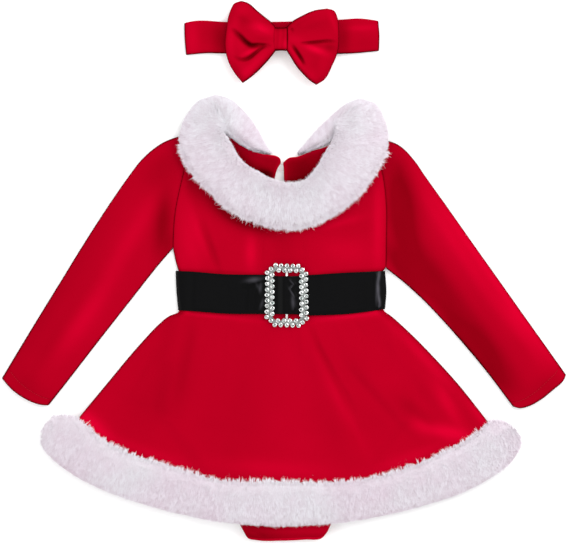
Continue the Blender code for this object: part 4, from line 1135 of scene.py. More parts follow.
for number, (side, rungs) in enumerate(COLLAR_BACK.items()):
    back_cloth = fur_cloth(rungs, (1.0, 5.0), BACK_INSETS, rows=56, joined=(30.0, 0.0))
    core = fur_core(f"collar_back_{side}_fur", back_cloth, white_fur)
    stands_for(core, [f"collar_back_{side}"])
    strands = pile(
        f"collar_back_{side}_pile",
        back_cloth,
        white_fur,
        count=12000,
        seed=21 + number,
        parting=0.76,
        tufted=BACK_TUFTS,
        # Painted shade along the outer edge.
        shaded=(0.5, 0.0),
    )
    stands_for(strands, [])
    edge_wisps = pile(
        f"collar_back_{side}_wisps",
        back_cloth[AT_NECKLINE],
        white_fur,
        count=1800,
        seed=23 + number,
        parting=-0.2,
        tufted=BACK_TUFTS,
        lowest=8.0,
        lengths=(3.0, 1.4),
        upright=0.45,
        droop=0.1,
        # Painted light on both edges, where the wisps lie in shade by the neckline.
        shaded=(-0.5, -0.7),
    )
    stands_for(edge_wisps, [])


# Skirt
# Two flared velvet panels sewn to the bodice at the waist and to each other down the sides, one on the
# other with the brief between them. Soft folds run down from the waist and end at the fur band.

GAP_UNDER_SKIRT = 0.6  # the slack above the brief and below it
BRIEF_CLOTH = 1.2
BRIEF_PILE = 2 * GAP_UNDER_SKIRT + 2 * BRIEF_CLOTH + LAYER_GAP
BRIEF_MIDDLE = 285.5
# board y, half width
BRIEF_WIDTHS = ((316, 93), (360, 98), (400, 101), (420, 99), (450, 74), (485, 52), (527, 43), (541, 39))
HEM_BACK_HEIGHT = 9.0
SKIRT_SIDE_LEFT = Edge(
    [(180.6, 307.2), (178, 312.2)],
    [(178, 312.2), (168.4, 316), (159.6, 323.2), (142.9, 340.7), (106.6, 383.6), (80, 416)],
)
SKIRT_SIDE_RIGHT = Edge(
    [(381.7, 306), (384, 310.6)],
    [(384, 310.6), (391.6, 316), (404.2, 327.2), (439.6, 363), (458.4, 384), (487, 420.4)],
)
SKIRT_WAIST = Edge(
    [(180.6, 307.2), (216, 309.8), (249, 311.2), (281, 311.4), (310, 311.2), (345, 309.8), (381.7, 306)]
)
BELT_LOW_LINE = [(178.2, 309.8), (199.5, 311.1), (224, 313), (264, 313.4), (309, 315), (345, 313.6)]
BELT_LOW_LINE += [(385, 308.6)]
HEM_SEAM = Edge(
    [(80, 416), (97, 432), (120, 445.5), (172, 462.5), (226, 479), (281, 483.5)],
    [(281, 483.5), (338, 480.5), (400, 467.5), (455, 444), (473, 434.5), (487, 420.4)],
)
SEAM_ALLOWANCE = np.array([0.8, 1.7, 2.8, 4.2])  # rows of the front panel that go under the fur
# top x, top y, low x, low y, half width, height
SKIRT_FOLDS = (
    (205, 330, 150, 440, 17, 2.6),
    (236, 335, 214, 462, 17, 2.2),
    (262, 330, 262, 470, 15, -1.0),
    (310, 331, 352, 452, 15, 2.8),
    (350, 345, 408, 430, 15, 2.4),
    (374, 330, 428, 402, 13, -1.2),
    (398, 345, 462, 428, 13, 2.6),
    (170, 350, 112, 420, 14, 2.0),
)
# the same for the narrow creases
SKIRT_CREASES = (
    (312, 327, 319, 349, 3.0, -1.0),
    (319, 349, 345, 395, 4.0, -1.2),
    (345, 395, 362, 448, 5.0, -1.3),
    (328, 352, 356, 404, 4.5, 0.9),
    (350, 372, 410, 438, 6.5, -1.6),
    (402, 402, 462, 436, 6.5, 1.3),
    (438, 384, 470, 424, 4.5, -1.1),
    (190, 332, 178, 400, 6.0, -0.9),
    (206, 350, 190, 404, 3.5, -0.5),
    (150, 356, 122, 404, 5.0, -0.6),
    (232, 322, 228, 352, 3.5, 0.5),
    (244, 322, 242, 350, 3.0, -0.5),
    (258, 322, 258, 342, 3.0, 0.4),
    (288, 322, 290, 350, 3.0, -0.4),
    (300, 322, 303, 356, 3.5, 0.5),
    (335, 320, 345, 344, 3.5, 0.4),
    (352, 318, 366, 340, 3.0, -0.5),
    (214, 320, 208, 344, 3.0, -0.4),
)
# Painted light and shade on the folds, with painted highlights under the belt and by the fur band.
# x, y, half length, half width, turn, amount
SKIRT_PAINTED_LIGHT = (
    (215, 316, 36, 2.5, 5, 0.6),
    (350, 315.4, 40, 3.0, -6, 0.8),
    (326, 360, 44, 3.0, 64, -0.25),
    (344, 408, 48, 6, 62, 0.25),
    (415, 412, 22, 7, 40, -0.4),
    (418, 420, 15, 7, 50, 0.35),
    (446, 431, 25, 6.5, 13, 0.95),
    (424, 357, 46, 5, 46, 0.4),
    (447, 402, 24, 6, 60, 0.5),
    (480, 414, 16, 5, 50, 0.5),
    (92, 424, 26, 9, 42, 0.9),
    (150, 452, 52, 6, 20, 0.28),
    (186, 360, 46, 7, 100, -0.2),
    (160, 395, 44, 26, 120, -0.18),
    (240, 400, 70, 28, 96, -0.12),
    (270, 467, 60, 9, 4, 0.3),
    (270, 390, 60, 50, 90, 0.1),
    (410, 456, 46, 6, -20, 0.3),
)


def skirt_back_lift(x, y):
    """The skirt's back comes down from the belt's height to the floor over 30 mm, and rises over its last
    50 mm to the fur band's seam."""
    above_hem = np.interp(x, HEM_SEAM.points[:, 0], HEM_SEAM.points[:, 1]) - y
    below_waist = y - np.interp(x, SKIRT_WAIST.points[:, 0], SKIRT_WAIST.points[:, 1])
    rise = (HEM_BACK_HEIGHT - VELVET) * smoothstep(1 - above_hem / 50)
    return rise + BELT_RISE * smoothstep(1 - below_waist / 30)


def brief_cover(x, y):
    """How far the brief lifts the skirt's front: 1 over it and 10 mm beside it, falling to 0 over the next
    24 mm."""
    heights, halves = zip(*BRIEF_WIDTHS)
    beside = np.abs(x - BRIEF_MIDDLE) - np.interp(y, heights, halves)
    return smoothstep(1 - (beside - 10) / 24)


skirt_patch = patch(SKIRT_WAIST, HEM_SEAM, SKIRT_SIDE_LEFT, SKIRT_SIDE_RIGHT)
back_grid = skirt_patch(SKIRT_WAIST.shares(60)[None, :], SKIRT_SIDE_LEFT.shares(46)[:, None])
x, y = back_grid[..., 0], back_grid[..., 1]
# Half the front's painted light and shade, and 0.1 darker.
skirt_back_painted_light = -0.1 + painted_light_patches(x, y, SKIRT_PAINTED_LIGHT) / 2
skirt_back_layer = (back_grid, skirt_back_lift(x, y), inward(back_grid), skirt_back_painted_light)
skirt_back = laid_panel("skirt_back_velvet", [skirt_back_layer], VELVET, velvet)
stands_for(skirt_back, ["skirt_back"])

skirt_u, skirt_v = SKIRT_WAIST.shares(146)[None, :], SKIRT_SIDE_LEFT.shares(112)[:, None]
skirt_grid = skirt_patch(skirt_u, skirt_v)
seam_way = skirt_grid[-1:] - skirt_grid[-5:-4]
seam_way /= np.linalg.norm(seam_way, axis=-1, keepdims=True)
skirt_grid = np.concatenate([skirt_grid, skirt_grid[-1:] + SEAM_ALLOWANCE[:, None, None] * seam_way])
skirt_v = np.concatenate([skirt_v, np.ones((len(SEAM_ALLOWANCE), 1))])
x, y = skirt_grid[..., 0], skirt_grid[..., 1]
from_side = np.minimum(skirt_u, 1 - skirt_u) + 0 * skirt_v
free = smoothstep(from_side / 0.1) * smoothstep((1 - skirt_v) / 0.2) * smoothstep(skirt_v / 0.12)
creased = smoothstep(from_side / 0.05) * smoothstep((1 - skirt_v) / 0.08) * smoothstep(skirt_v / 0.02)
over_brief = BRIEF_PILE * brief_cover(x, y) * smoothstep(from_side / 0.04)
resting = skirt_back_lift(x, y) + VELVET + LAYER_GAP + over_brief
full = np.maximum(0, 0.8 + folds(x, y, SKIRT_FOLDS)) * free + folds(x, y, SKIRT_CREASES) * creased
below_belt = y - np.interp(x, *np.array(BELT_LOW_LINE).T)
from_sides = inward(skirt_grid, top=False, bottom=False)
sunk = 2.0 * smoothstep(1.2 - below_belt / 7) + 0.35 * np.exp(-((from_sides / 1.6) ** 2))
skirt_height = np.maximum(resting + full, resting - 0.9) - sunk
# Painted shade along the side outlines.
skirt_front = laid_panel(
    "skirt_front_velvet",
    [(skirt_grid, skirt_height, inward(skirt_grid), painted_light_patches(x, y, SKIRT_PAINTED_LIGHT) - outline_shade(from_sides))],
    VELVET,
    velvet,
)
stands_for(skirt_front, ["skirt_front"])


# Brief
# Two layers of thinner velvet under the skirt, sewn into the waist, with elastic in the leg openings. Only
# the crotch shows below the fur band, where its front edge is turned up and stitched.

BRIEF_TOP = Edge([(192.5, 317), (249, 321), (281, 321.4), (320, 321), (378.5, 317)])
BRIEF_TIP = Edge(
    [(244.6, 531), (248, 537), (257, 539.2), (281, 539.7), (305, 538.6), (322, 536.8), (327.4, 530)]
)
BRIEF_LEFT = Edge(
    [(192.5, 317), (187, 360), (184.5, 400)],
    [(184.5, 400), (205, 448), (232, 486), (241.6, 526), (244.6, 531)],
)
BRIEF_RIGHT = Edge(
    [(378.5, 317), (384, 360), (386.5, 400)],
    [(386.5, 400), (366, 448), (339, 486), (331, 522), (327.4, 530)],
)
TIP_BAND = 2.6  # how much of the crotch's edge is turned up
TIP_DROOP = 6.4  # how far the tip sinks past the fur band
TIP_DROOPS_BETWEEN = (529.6, 540.8)  # board y
BRIEF_LENGTH = 235.0  # about its length along a side, for setting rows above the tip
# top x, top y, low x, low y, half width, height
TIP_FOLDS = (
    (252, 528, 264, 536, 2.2, -0.8),
    (246, 527, 248, 534, 1.8, -0.7),
    (300, 526, 296, 536, 3.0, -0.3),
    (318, 527, 322, 535, 2.5, -0.4),
)


def brief_lift(x, y):
    """The brief's back lies on the skirt's back, crosses the lower fur band and droops past it."""
    lying = skirt_back_lift(x, y) + VELVET + LAYER_GAP + GAP_UNDER_SKIRT
    start, end = TIP_DROOPS_BETWEEN
    return lying - TIP_DROOP * smoothstep((y - start) / (end - start))


brief_patch = patch(BRIEF_TOP, BRIEF_TIP, BRIEF_LEFT, BRIEF_RIGHT)
# millimetres above the tip, close together at the turned edge
tip_rows = np.array([0, 0.1, 0.35, 0.75, 1.2, 1.8, 2.3, 2.6, 2.9, 3.4, 4.2, 5.2, 6.4, 8, 10, 12, 15, 19])
tip_v = 1 - tip_rows / BRIEF_LENGTH
brief_v = np.union1d(np.linspace(0, 0.9, 30), tip_v)[:, None]
brief_grid = brief_patch(BRIEF_TIP.shares(52)[None, :], brief_v)
x, y = brief_grid[..., 0], brief_grid[..., 1]
above_tip = inward(brief_grid, left=False, right=False, top=False)
band = smoothstep((TIP_BAND - above_tip) / 0.5)
stitched = -0.3 * np.exp(-(((above_tip - TIP_BAND - 0.2) / 0.4) ** 2))
from_leg = inward(brief_grid, top=False, bottom=False)
elastic = 0.25 * np.sin(y * 1.9) * np.exp(-((from_leg / 3.5) ** 2)) * (y > 400)
# Painted light on the turned edge, and painted shade towards the left.
tip_painted_light = -0.1 + 0.5 * band - 0.45 * smoothstep((296 - x) / 40)
tip_relief = 0.35 * band + stitched + folds(x, y, TIP_FOLDS) * smoothstep((y - 520) / 6)
for side, layer, relief in (("back", 0.0, 0.0 * x), ("front", BRIEF_CLOTH + LAYER_GAP, tip_relief)):
    brief = laid_panel(
        f"brief_{side}_velvet",
        [(brief_grid, brief_lift(x, y) + layer + relief + elastic, inward(brief_grid), tip_painted_light)],
        BRIEF_CLOTH,
        velvet,
    )
    stands_for(brief, [f"brief_{side}"])


# Fur hem
# A band of the same fur cloth round the hem, one stretch under the other, as long as the skirt's edge and
# 45 mm deep. It stands past the side folds in rounded ends, and its tufts reach up over the velvet.

HEM_FRONT_HEIGHT = 11.0
HEM_EDGE = Edge(
    [(55, 461), (75, 476), (103, 490), (164, 510), (224, 523.5), (281, 528.5)],
    [(281, 528.5), (341, 523.5), (407, 510), (468, 490), (492, 477), (509, 464)],
)
HEM_MIDDLE = 485.0  # board y where the hem crosses the brief
# seam x, seam y, lower x, lower y, height as a share
HEM_END_LEFT = ((50, 415.4, 39, 437, 0.55), (62, 413.6, 44, 449, 0.85))
HEM_END_RIGHT = ((500, 419.6, 519, 450, 0.85), (512, 425, 522, 441, 0.55))
hem_shares = np.linspace(0, 1, 25)
hem_middle = [(*seam, *edge, 1.0) for seam, edge in zip(HEM_SEAM.at(hem_shares), HEM_EDGE.at(hem_shares))]
hem_rungs = [*HEM_END_LEFT, *hem_middle, *HEM_END_RIGHT]
hem_back_rungs, hem_front_rungs = [], []
for *ends, share in hem_rungs:
    hem_back_rungs.append((*ends, HEM_BACK_HEIGHT * (1 - share), HEM_BACK_HEIGHT * share))
    foot = HEM_BACK_HEIGHT + LAYER_GAP + BRIEF_PILE * float(brief_cover(ends[0], HEM_MIDDLE))
    hem_front_rungs.append((*ends, foot, HEM_FRONT_HEIGHT * share))
HEM_INSETS = (
    (1.6, 3.6, 4.8, 4.9, 2.0, -1.2, 1.8, 3.4, 3.4, 2.4, 1.6),
    (3.2, 3.4, 3.4, 3.4, 4.8, 5.4, 4.8, 3.4, 3.4, 3.4, 3.2),
)
HEM_TUFTS = ((0.0, 0.0), (0.0, 0.05, 0.0))
SEAM_WISPS = ((0.0, 0.7, 1.1, 1.0, 0.9, 0.9, 1.0, 1.0, 1.1, 0.7, 0.0), (0.0, 0.0))
for side, rungs, count, seed, hanging in (
    ("back", hem_back_rungs, 16000, 31, True),
    ("front", hem_front_rungs, 46000, 32, False),
):
    cloth = fur_cloth(rungs, (6.0, 6.0), HEM_INSETS, rows=130, hanging=hanging)
    core = fur_core(f"hem_{side}_fur", cloth, white_fur, hanging=hanging)
    stands_for(core, [f"hem_fur_{side}"])
    # Painted shade along the band's lower edge.
    strands = pile(f"hem_{side}_pile", cloth, white_fur, count, seed, 0.2, HEM_TUFTS, shaded=(0.0, 0.5))
    stands_for(strands, [])
OVER_SEAM = (slice(9, -9), slice(0, 8))  # rows along the front band, and columns from its seam
seam_wisps = pile(
    "hem_seam_wisps",
    cloth[OVER_SEAM],
    white_fur,
    count=5200,
    seed=33,
    parting=1.2,
    tufted=SEAM_WISPS,
    spacing=2.7,
    lengths=(2.4, 5.6),
    upright=0.85,
    droop=0.0,
)
stands_for(seam_wisps, [])


# Belt
# Black satin ribbon 40 mm wide, a ring round the waist. It lies over the waist seam, under the back
# bodice, and its front stretch is threaded through the buckle and over the buckle's bar.

RIBBON = 0.8
RIBBON_ROOM = 1.0  # what the solids give to the ribbon's thickness
BELT_FOLD = 3.0  # half the height of the ring's rounded sides
BELT_CREST = BELT_RISE + 2 * VELVET + LAYER_GAP + BODICE_LOFT + LAYER_GAP + RIBBON_ROOM
OVER_BAR = 2.6  # how far the ribbon arches over the buckle's bar
BEAD_INSET = 0.9
BELT_SIDES = (176, 386)  # board x
BELT_TOP_EDGE = Edge(
    [(175.6, 270.3), (192, 271.1), (224, 273.6), (264, 274.2)],
    [(264, 274.2), (275, 275.4), (287, 275.6), (299, 275.4), (309, 274.5)],
    [(309, 274.5), (345, 272.2), (385, 270.4)],
)
BELT_LOW_EDGE = Edge(
    [(178.2, 309.8), (199.5, 311.1), (224, 313), (264, 313.4)],
    [(264, 313.4), (275, 313.4), (287, 313.6), (299, 314), (309, 315)],
    [(309, 315), (345, 313.6), (385, 308.6)],
)
BELT_LEFT = Edge([(175.6, 270.3), (176.4, 290), (178.2, 309.8)])
BELT_RIGHT = Edge([(385, 270.4), (386.4, 292), (385, 308.6)])
BUCKLE_CENTRE = (286.7, 295.0)
# top x, top y, low x, low y, half width, height
BELT_WRINKLES = (
    (264, 278, 246, 284, 2.6, 1.3),
    (261, 286, 256, 298, 1.6, 0.7),
    (258, 300, 254, 313, 1.6, 0.6),
    (251, 286, 249, 312, 3.0, 0.5),
    (376, 271, 377, 309, 3.2, 1.3),
    (362, 272, 360, 300, 5.0, 0.25),
    (289, 279, 294.5, 284, 1.1, 0.7),
    (294.5, 284, 290, 289, 1.1, 0.65),
    (290, 289, 295.5, 297, 1.2, 0.8),
    (292.5, 297, 293.5, 311, 1.6, 1.0),
    (318, 274, 314, 296, 4.0, -0.3),
    (196, 272, 193, 309, 6.0, 0.35),
    (222, 276, 228, 310, 7.0, -0.25),
    (338, 276, 334, 310, 8.0, 0.25),
)
# Painted highlights on the wrinkles.
# x, y, half length, half width, turn, amount
BELT_PAINTED_GLEAM = (
    (378.6, 276, 7, 1.3, 97, 0.85),
    (377.9, 288, 6, 1.5, 88, 0.8),
    (379.0, 299, 6, 1.2, 83, 0.85),
    (378.8, 307, 3.5, 1.0, 95, 0.5),
    (376.2, 297, 7, 1.0, 90, 0.25),
    (253.6, 279.3, 7, 2.0, -10, 0.5),
    (258, 286, 5, 1.5, 60, 0.15),
    (260.6, 287, 5, 1.3, 96, 0.3),
    (262, 303, 5, 1.2, 110, 0.28),
    (292, 281.8, 3.0, 0.7, 45, 0.4),
    (291.6, 286, 3.0, 0.7, 135, 0.4),
    (291.8, 292, 4.5, 0.8, 58, 0.45),
    (293.5, 302, 6.5, 1.8, 86, 0.55),
)


def satin_finish():
    """Black satin: almost no colour, and a painted blue grey highlight where its attribute says a wrinkle
    shines. Its long floats streak it faintly along the ribbon."""
    made, tree, shader = new_finish("black_satin")
    floats = grain(tree, 900.0, 2.0, stretch=(0.12, 1.0, 1.0))
    painted_gleam = node(tree, "ShaderNodeAttribute", attribute_name="painted_light_and_shade").outputs["Fac"]
    painted_gleam = weighed(tree, painted_gleam, 0.012, floats)
    tone = colours(tree, painted_gleam, [(0.0, (0.0007, 0.0007, 0.0009)), (1.0, (0.092, 0.088, 0.105))])
    tree.links.new(tone, shader.inputs["Base Color"])
    shader.inputs["Roughness"].default_value = 0.30
    shader.inputs["Specular IOR Level"].default_value = 0.07
    bumps(tree, shader, floats, 0.00005, 0.4)
    return made


def belt_crown(x, y, u, v):
    """The ribbon rises from its folded sides onto the bodice and arches over the buckle's bar, wrinkled where
    it is threaded. A woven bead, a bell 0.12 mm high, runs just inside each edge."""
    from_side = np.minimum(x - BELT_SIDES[0], BELT_SIDES[1] - x)
    onto_bodice = (BELT_CREST - 2 * BELT_FOLD) * smoothstep(from_side / 24)
    arch = OVER_BAR * smoothstep(1.25 - np.abs(x - BUCKLE_CENTRE[0]) / 8.5)
    from_edge = np.minimum(v, 1 - v) * BELT_LEFT.length
    bead = 0.12 * np.exp(-(((from_edge - BEAD_INSET) / 0.35) ** 2))
    wrinkles = folds(x, y, BELT_WRINKLES) * (0.4 + 0.6 * smoothstep(from_edge / 3))
    return onto_bodice + arch + bead + wrinkles


black_satin = satin_finish()
belt_patch = patch(BELT_TOP_EDGE, BELT_LOW_EDGE, BELT_LEFT, BELT_RIGHT)
beside_bead = BEAD_INSET + np.array([-0.3, 0.0, 0.3])
belt_rows = np.union1d(BELT_LEFT.shares(32), beside_bead / BELT_LEFT.length)
place, z, u = tube_rings(belt_patch, BELT_FOLD, belt_crown, 0.0, belt_rows, np.linspace(0, 1, 168), 8)
# Painted highlights, on the upper layer only.
belt_painted_gleam = painted_light_patches(place[..., 0], place[..., 1], BELT_PAINTED_GLEAM) * (z > BELT_FOLD)
belt = tube_shell("belt_ribbon", place, z, u, RIBBON, black_satin, belt_painted_gleam)
stands_for(belt, ["belt"])


# Buckle
# A slim plated frame with its corners cut off and a bright bar across its window. Two rows of cup chains are
# soldered round it, 56 foil backed stones of 4 mm, each held by four claws, so its outline is scalloped.

BUCKLE_FOOT = BELT_CREST + LAYER_GAP
RAIL_OUTER = (37.4, 57.8, 6.4)  # width, height and how much of each corner is cut off
RAIL_WINDOW = (28.4, 49.8, 3.2)
RAIL_HEIGHT = 1.2
BAR_WIDTH = 2.3
CUP_FOOT = BUCKLE_FOOT + 0.35
# first x, first y, last x, last y, stones
STONE_ROWS = (
    (267.2, 272.1, 267.0, 316.5, 9),
    (272.3, 274.6, 272.3, 313.2, 8),
    (301.2, 275.4, 301.2, 314.4, 8),
    (306.0, 273.4, 306.4, 318.0, 9),
    (275.4, 265.0, 298.4, 265.6, 5),
    (278.5, 269.8, 296.0, 270.2, 4),
    (274.9, 324.2, 298.6, 324.8, 5),
    (278.0, 319.8, 295.6, 320.0, 4),
    (270.8, 268.3, 302.4, 269.3, 2),
    (270.8, 319.8, 302.4, 321.8, 2),
)
STONE_SIDES = 8
CUP_SIDES = 12
CLAW_RADIUS = 1.95  # from a stone's middle to its claws


def cut_rectangle(width, height, cut):
    """The eight corners of a rectangle about the buckle's middle with its corners cut off, on the board."""
    x, y = width / 2, height / 2
    corners = [(x, y - cut), (x - cut, y), (cut - x, y), (-x, y - cut)]
    corners += [(-x, cut - y), (cut - x, -y), (x - cut, -y), (x, cut - y)]
    return np.array(corners) + BUCKLE_CENTRE


def ring_faces(rings, count, closed):
    """Faces between rings of count points each; when closed, the last ring joins the first."""
    index = np.arange(rings * count).reshape(rings, count)
    following = np.roll(index, -1, axis=0) if closed else index[1:]
    index = index if closed else index[:-1]
    ahead, far = np.roll(index, -1, axis=1), np.roll(following, -1, axis=1)
    return np.stack([index, ahead, far, following], axis=-1).reshape(-1, 4)


def outward(made):
    """Turns the faces of a closed mesh outwards."""
    shape = bmesh.new()
    shape.from_mesh(made.data)
    bmesh.ops.recalc_face_normals(shape, faces=shape.faces[:])
    shape.to_mesh(made.data)
    shape.free()
    return made


def turned_copies(name, profile, sides, places, tilts, finish, twist=0.0, smooth=False, painted_sparkle=None):
    """One turned profile of (radius, height) rows, set down at each place with its own tilt and turn. twist
    is how far each ring is turned against the one before. The first and last rows are points. A (least,
    most) pair for the facets between two rows sets their painted reflection; each one draws its own."""
    radius, height = np.array(profile, float).T
    turn = np.linspace(0, 2 * np.pi, sides, endpoint=False)
    turn = turn[None, :] + twist * np.arange(len(radius))[:, None]
    one = np.stack([radius[:, None] * np.cos(turn), radius[:, None] * np.sin(turn)], axis=-1)
    lean_x, lean_y, own_turn = tilts.T
    cosine, sine = np.cos(own_turn)[:, None, None], np.sin(own_turn)[:, None, None]
    x = one[..., 0] * cosine - one[..., 1] * sine
    y = one[..., 0] * sine + one[..., 1] * cosine
    z = height[:, None] + lean_x[:, None, None] * x + lean_y[:, None, None] * y
    points = board_to_frame(places[:, 0, None, None] + x, places[:, 1, None, None] + y, z)
    skin = ring_faces(len(radius), sides, False)
    start = np.arange(len(places))[:, None, None] * len(radius) * sides
    quads_of_all = (skin[None] + start).reshape(-1, 4)
    faces = np.concatenate([quads_of_all[:, [0, 1, 2]], quads_of_all[:, [0, 2, 3]]])
    least, most = np.array(painted_sparkle or [(0.0, 1.0)] * (len(radius) - 1)).T
    drawn = np.random.default_rng(len(places)).random((len(places), len(radius) - 1, sides))
    facet_painted_sparkle = least[:, None] + (most - least)[:, None] * drawn
    tones = {"facet_painted_sparkle": np.tile(facet_painted_sparkle.ravel(), 2)}
    made = put_mesh(name, points.reshape(-1, 3), [faces], [finish], tones)
    outward(weld(made))
    if not smooth:
        made.data.shade_flat()
    return made


def on_foot(profile):
    """The same turned profile, set up on the cups' foot."""
    return [(radius, CUP_FOOT + height) for radius, height in profile]


def stone_finish():
    """Foil backed glass: the facets each carry a painted reflection, from dull grey green to white."""
    made, tree, shader = new_finish("foil_backed_stone")
    facet_painted_sparkle = node(tree, "ShaderNodeAttribute", attribute_name="facet_painted_sparkle").outputs["Fac"]
    dull = [(0.0, (0.03, 0.05, 0.05)), (0.4, (0.28, 0.34, 0.32))]
    stops = [*dull, (0.62, (0.85, 0.84, 0.84)), (1.0, (1.0, 1.0, 1.0))]
    tree.links.new(colours(tree, facet_painted_sparkle, stops), shader.inputs["Base Color"])
    shader.inputs["Metallic"].default_value = 1.0
    shader.inputs["Roughness"].default_value = 0.12
    return made


plated = plain_finish("plated_metal", (0.26, 0.28, 0.27), 0.3, metallic=1.0, cloudiness=0.5, scale=700.0)
bar_metal = plain_finish("bright_bar", (0.90, 0.89, 0.89), 0.3, metallic=0.2, cloudiness=0.03, scale=1500.0)
foil_stone = stone_finish()
# The rail's section has eight points, at shares of its width from the window out and of its height.
edge_share = np.array([0.06, 0.94, 1.0, 1.0, 0.94, 0.06, 0.0, 0.0])
edge_height = BUCKLE_FOOT + RAIL_HEIGHT * np.array([1.0, 1.0, 0.85, 0.15, 0.0, 0.0, 0.15, 0.85])
window, rim = cut_rectangle(*RAIL_WINDOW), cut_rectangle(*RAIL_OUTER)
rail = window[:, None] + edge_share[None, :, None] * (rim - window)[:, None]
rail_points = board_to_frame(rail[..., 0], rail[..., 1], edge_height[None, :]).reshape(-1, 3)
turn = np.linspace(0, 2 * np.pi, 16, endpoint=False)
bar_x = BUCKLE_CENTRE[0] + BAR_WIDTH / 2 * np.sign(np.cos(turn)) * np.abs(np.cos(turn)) ** 0.5
bar_z = BELT_CREST + RAIL_HEIGHT / 2 * (1 + np.sign(np.sin(turn)) * np.abs(np.sin(turn)) ** 0.5)
bar_y = BUCKLE_CENTRE[1] + (RAIL_WINDOW[1] / 2 + 1.0) * np.array([-1.0, 1.0])
bar_points = board_to_frame(bar_x[None, :], bar_y[:, None], bar_z[None, :]).reshape(-1, 3)
bar_index = np.arange(32).reshape(2, 16)
buckle_frame = put_mesh("buckle_frame", rail_points, [ring_faces(8, 8, True)], [plated])
outward(buckle_frame).data.shade_flat()
stands_for(buckle_frame, ["buckle"])
bar_faces = [ring_faces(2, 16, False), bar_index[:1], bar_index[1:]]
buckle_bar = outward(put_mesh("buckle_bar", bar_points, bar_faces, [bar_metal]))
stands_for(buckle_bar, [])

stone_places = np.concatenate(
    [
        np.linspace((first_x, first_y), (last_x, last_y), stones)
        for first_x, first_y, last_x, last_y, stones in STONE_ROWS
    ]
)
chance = np.random.default_rng(56)
stone_places = stone_places + chance.normal(scale=0.12, size=stone_places.shape)
stone_leans = chance.normal(scale=0.10, size=(len(stone_places), 2))
stone_tilts = np.column_stack([stone_leans, chance.random(len(stone_places)) * 6])
cup_profile = on_foot([(0, 0), (1.6, 0), (2.15, 0.7), (2.25, 1.35), (2.0, 1.4), (1.8, 0.9), (0, 0.8)])
cups = turned_copies("stone_cups", cup_profile, CUP_SIDES, stone_places, stone_tilts, plated, smooth=True)
stands_for(cups, [])
stone_profile = on_foot([(0, 0.85), (2.0, 1.35), (2.1, 1.45), (1.6, 1.9), (0.9, 2.1), (0, 2.11)])
# Painted reflections: least and most for the facets in each band of a stone, from the bottom up.
STONE_PAINTED_SPARKLE = [(0.1, 0.5), (0.1, 0.6), (0.4, 1.0), (0.0, 0.85), (0.0, 0.7)]
stones = turned_copies(
    "buckle_stones",
    stone_profile,
    STONE_SIDES,
    stone_places,
    stone_tilts,
    foil_stone,
    twist=math.pi / STONE_SIDES,
    painted_sparkle=STONE_PAINTED_SPARKLE,
)
stands_for(stones, [])
claw_turn = np.radians([45, 135, 225, 315])[None, :] + stone_tilts[:, 2:3]
claw_x = stone_places[:, :1] + CLAW_RADIUS * np.cos(claw_turn)
claw_y = stone_places[:, 1:] + CLAW_RADIUS * np.sin(claw_turn)
claw_places = np.stack([claw_x, claw_y], axis=-1).reshape(-1, 2)
claw_profile = on_foot([(0, 1.1), (0.34, 1.2), (0.36, 1.55), (0.2, 1.75), (0, 1.8)])
claw_tilts = np.zeros((len(claw_places), 3))
claws = turned_copies("stone_claws", claw_profile, 6, claw_places, claw_tilts, plated, smooth=True)
stands_for(claws, [])


# Headband
# A ring of the same velvet, folded double and seamed under the bow, 195 mm flat and 32 mm wide. It lies
# flat by itself above the dress, with its bow uppermost.

BAND_FOLD = 2.0  # half the height of the band's rounded sides
BAND_CROWN = 0.8
BAND_TOP_LINE = [(184.2, 22.7), (192, 21), (225.7, 21.7), (281, 21.5), (338.7, 19.5), (360.7, 18.3)]
BAND_LOW_LINE = [(186, 54.6), (206.7, 52.8), (224.6, 53.1), (262, 52.2), (273, 50.8), (281, 50.2)]
BAND_LOW_LINE += [(290, 50.8), (300, 52.2), (337.2, 53.5), (350.4, 53.1), (379, 50.6)]
band_left = Edge([(184.2, 22.7), (184.6, 38), (186, 54.6)])
band_top = Edge(BAND_TOP_LINE + [(378.3, 20.5)])
band_patch = patch(band_top, Edge(BAND_LOW_LINE), band_left, Edge([(378.3, 20.5), (379.4, 35), (379, 50.6)]))
# top x, top y, low x, low y, half width, height
BAND_FOLDS = (
    (200, 26, 222, 36, 6, -0.4),
    (345, 28, 374, 26, 3, 0.5),
    (352, 38, 372, 44, 5, -0.3),
    (194, 40, 212, 50, 4, 0.3),
)
# Painted light and shade along the band.
# x, y, half length, half width, turn, amount
BAND_PAINTED_LIGHT = (
    (193, 36, 18, 7, 88, 0.4),
    (220, 38, 20, 8, 90, -0.6),
    (344, 38, 20, 6, 90, -0.5),
    (362, 28, 18, 3, -3, 0.4),
    (366, 44, 16, 7, 0, -0.2),
    (205, 34, 16, 12, 0, -0.2),
)


def band_crown(x, y, u, v):
    """A little height, rising over 30 mm from both ends, with four soft folds."""
    return BAND_CROWN * smoothstep(np.minimum(x - 186, 377 - x) / 30) + folds(x, y, BAND_FOLDS)


band_rows, band_layers = band_left.shares(26), np.linspace(0, 1, 96)
place, z, u = tube_rings(band_patch, BAND_FOLD, band_crown, 0.0, band_rows, band_layers, 8)
band_painted_light = painted_light_patches(place[..., 0], place[..., 1], BAND_PAINTED_LIGHT)
band = tube_shell("headband_velvet", place, z, u, VELVET, velvet, band_painted_light)
stands_for(band, ["headband_band"])


# Bow
# Two padded looking loops of doubled velvet, each closed at its outer end, pinched in their middle by a
# strip of velvet that makes the knot. Deep creases run out of the knot.

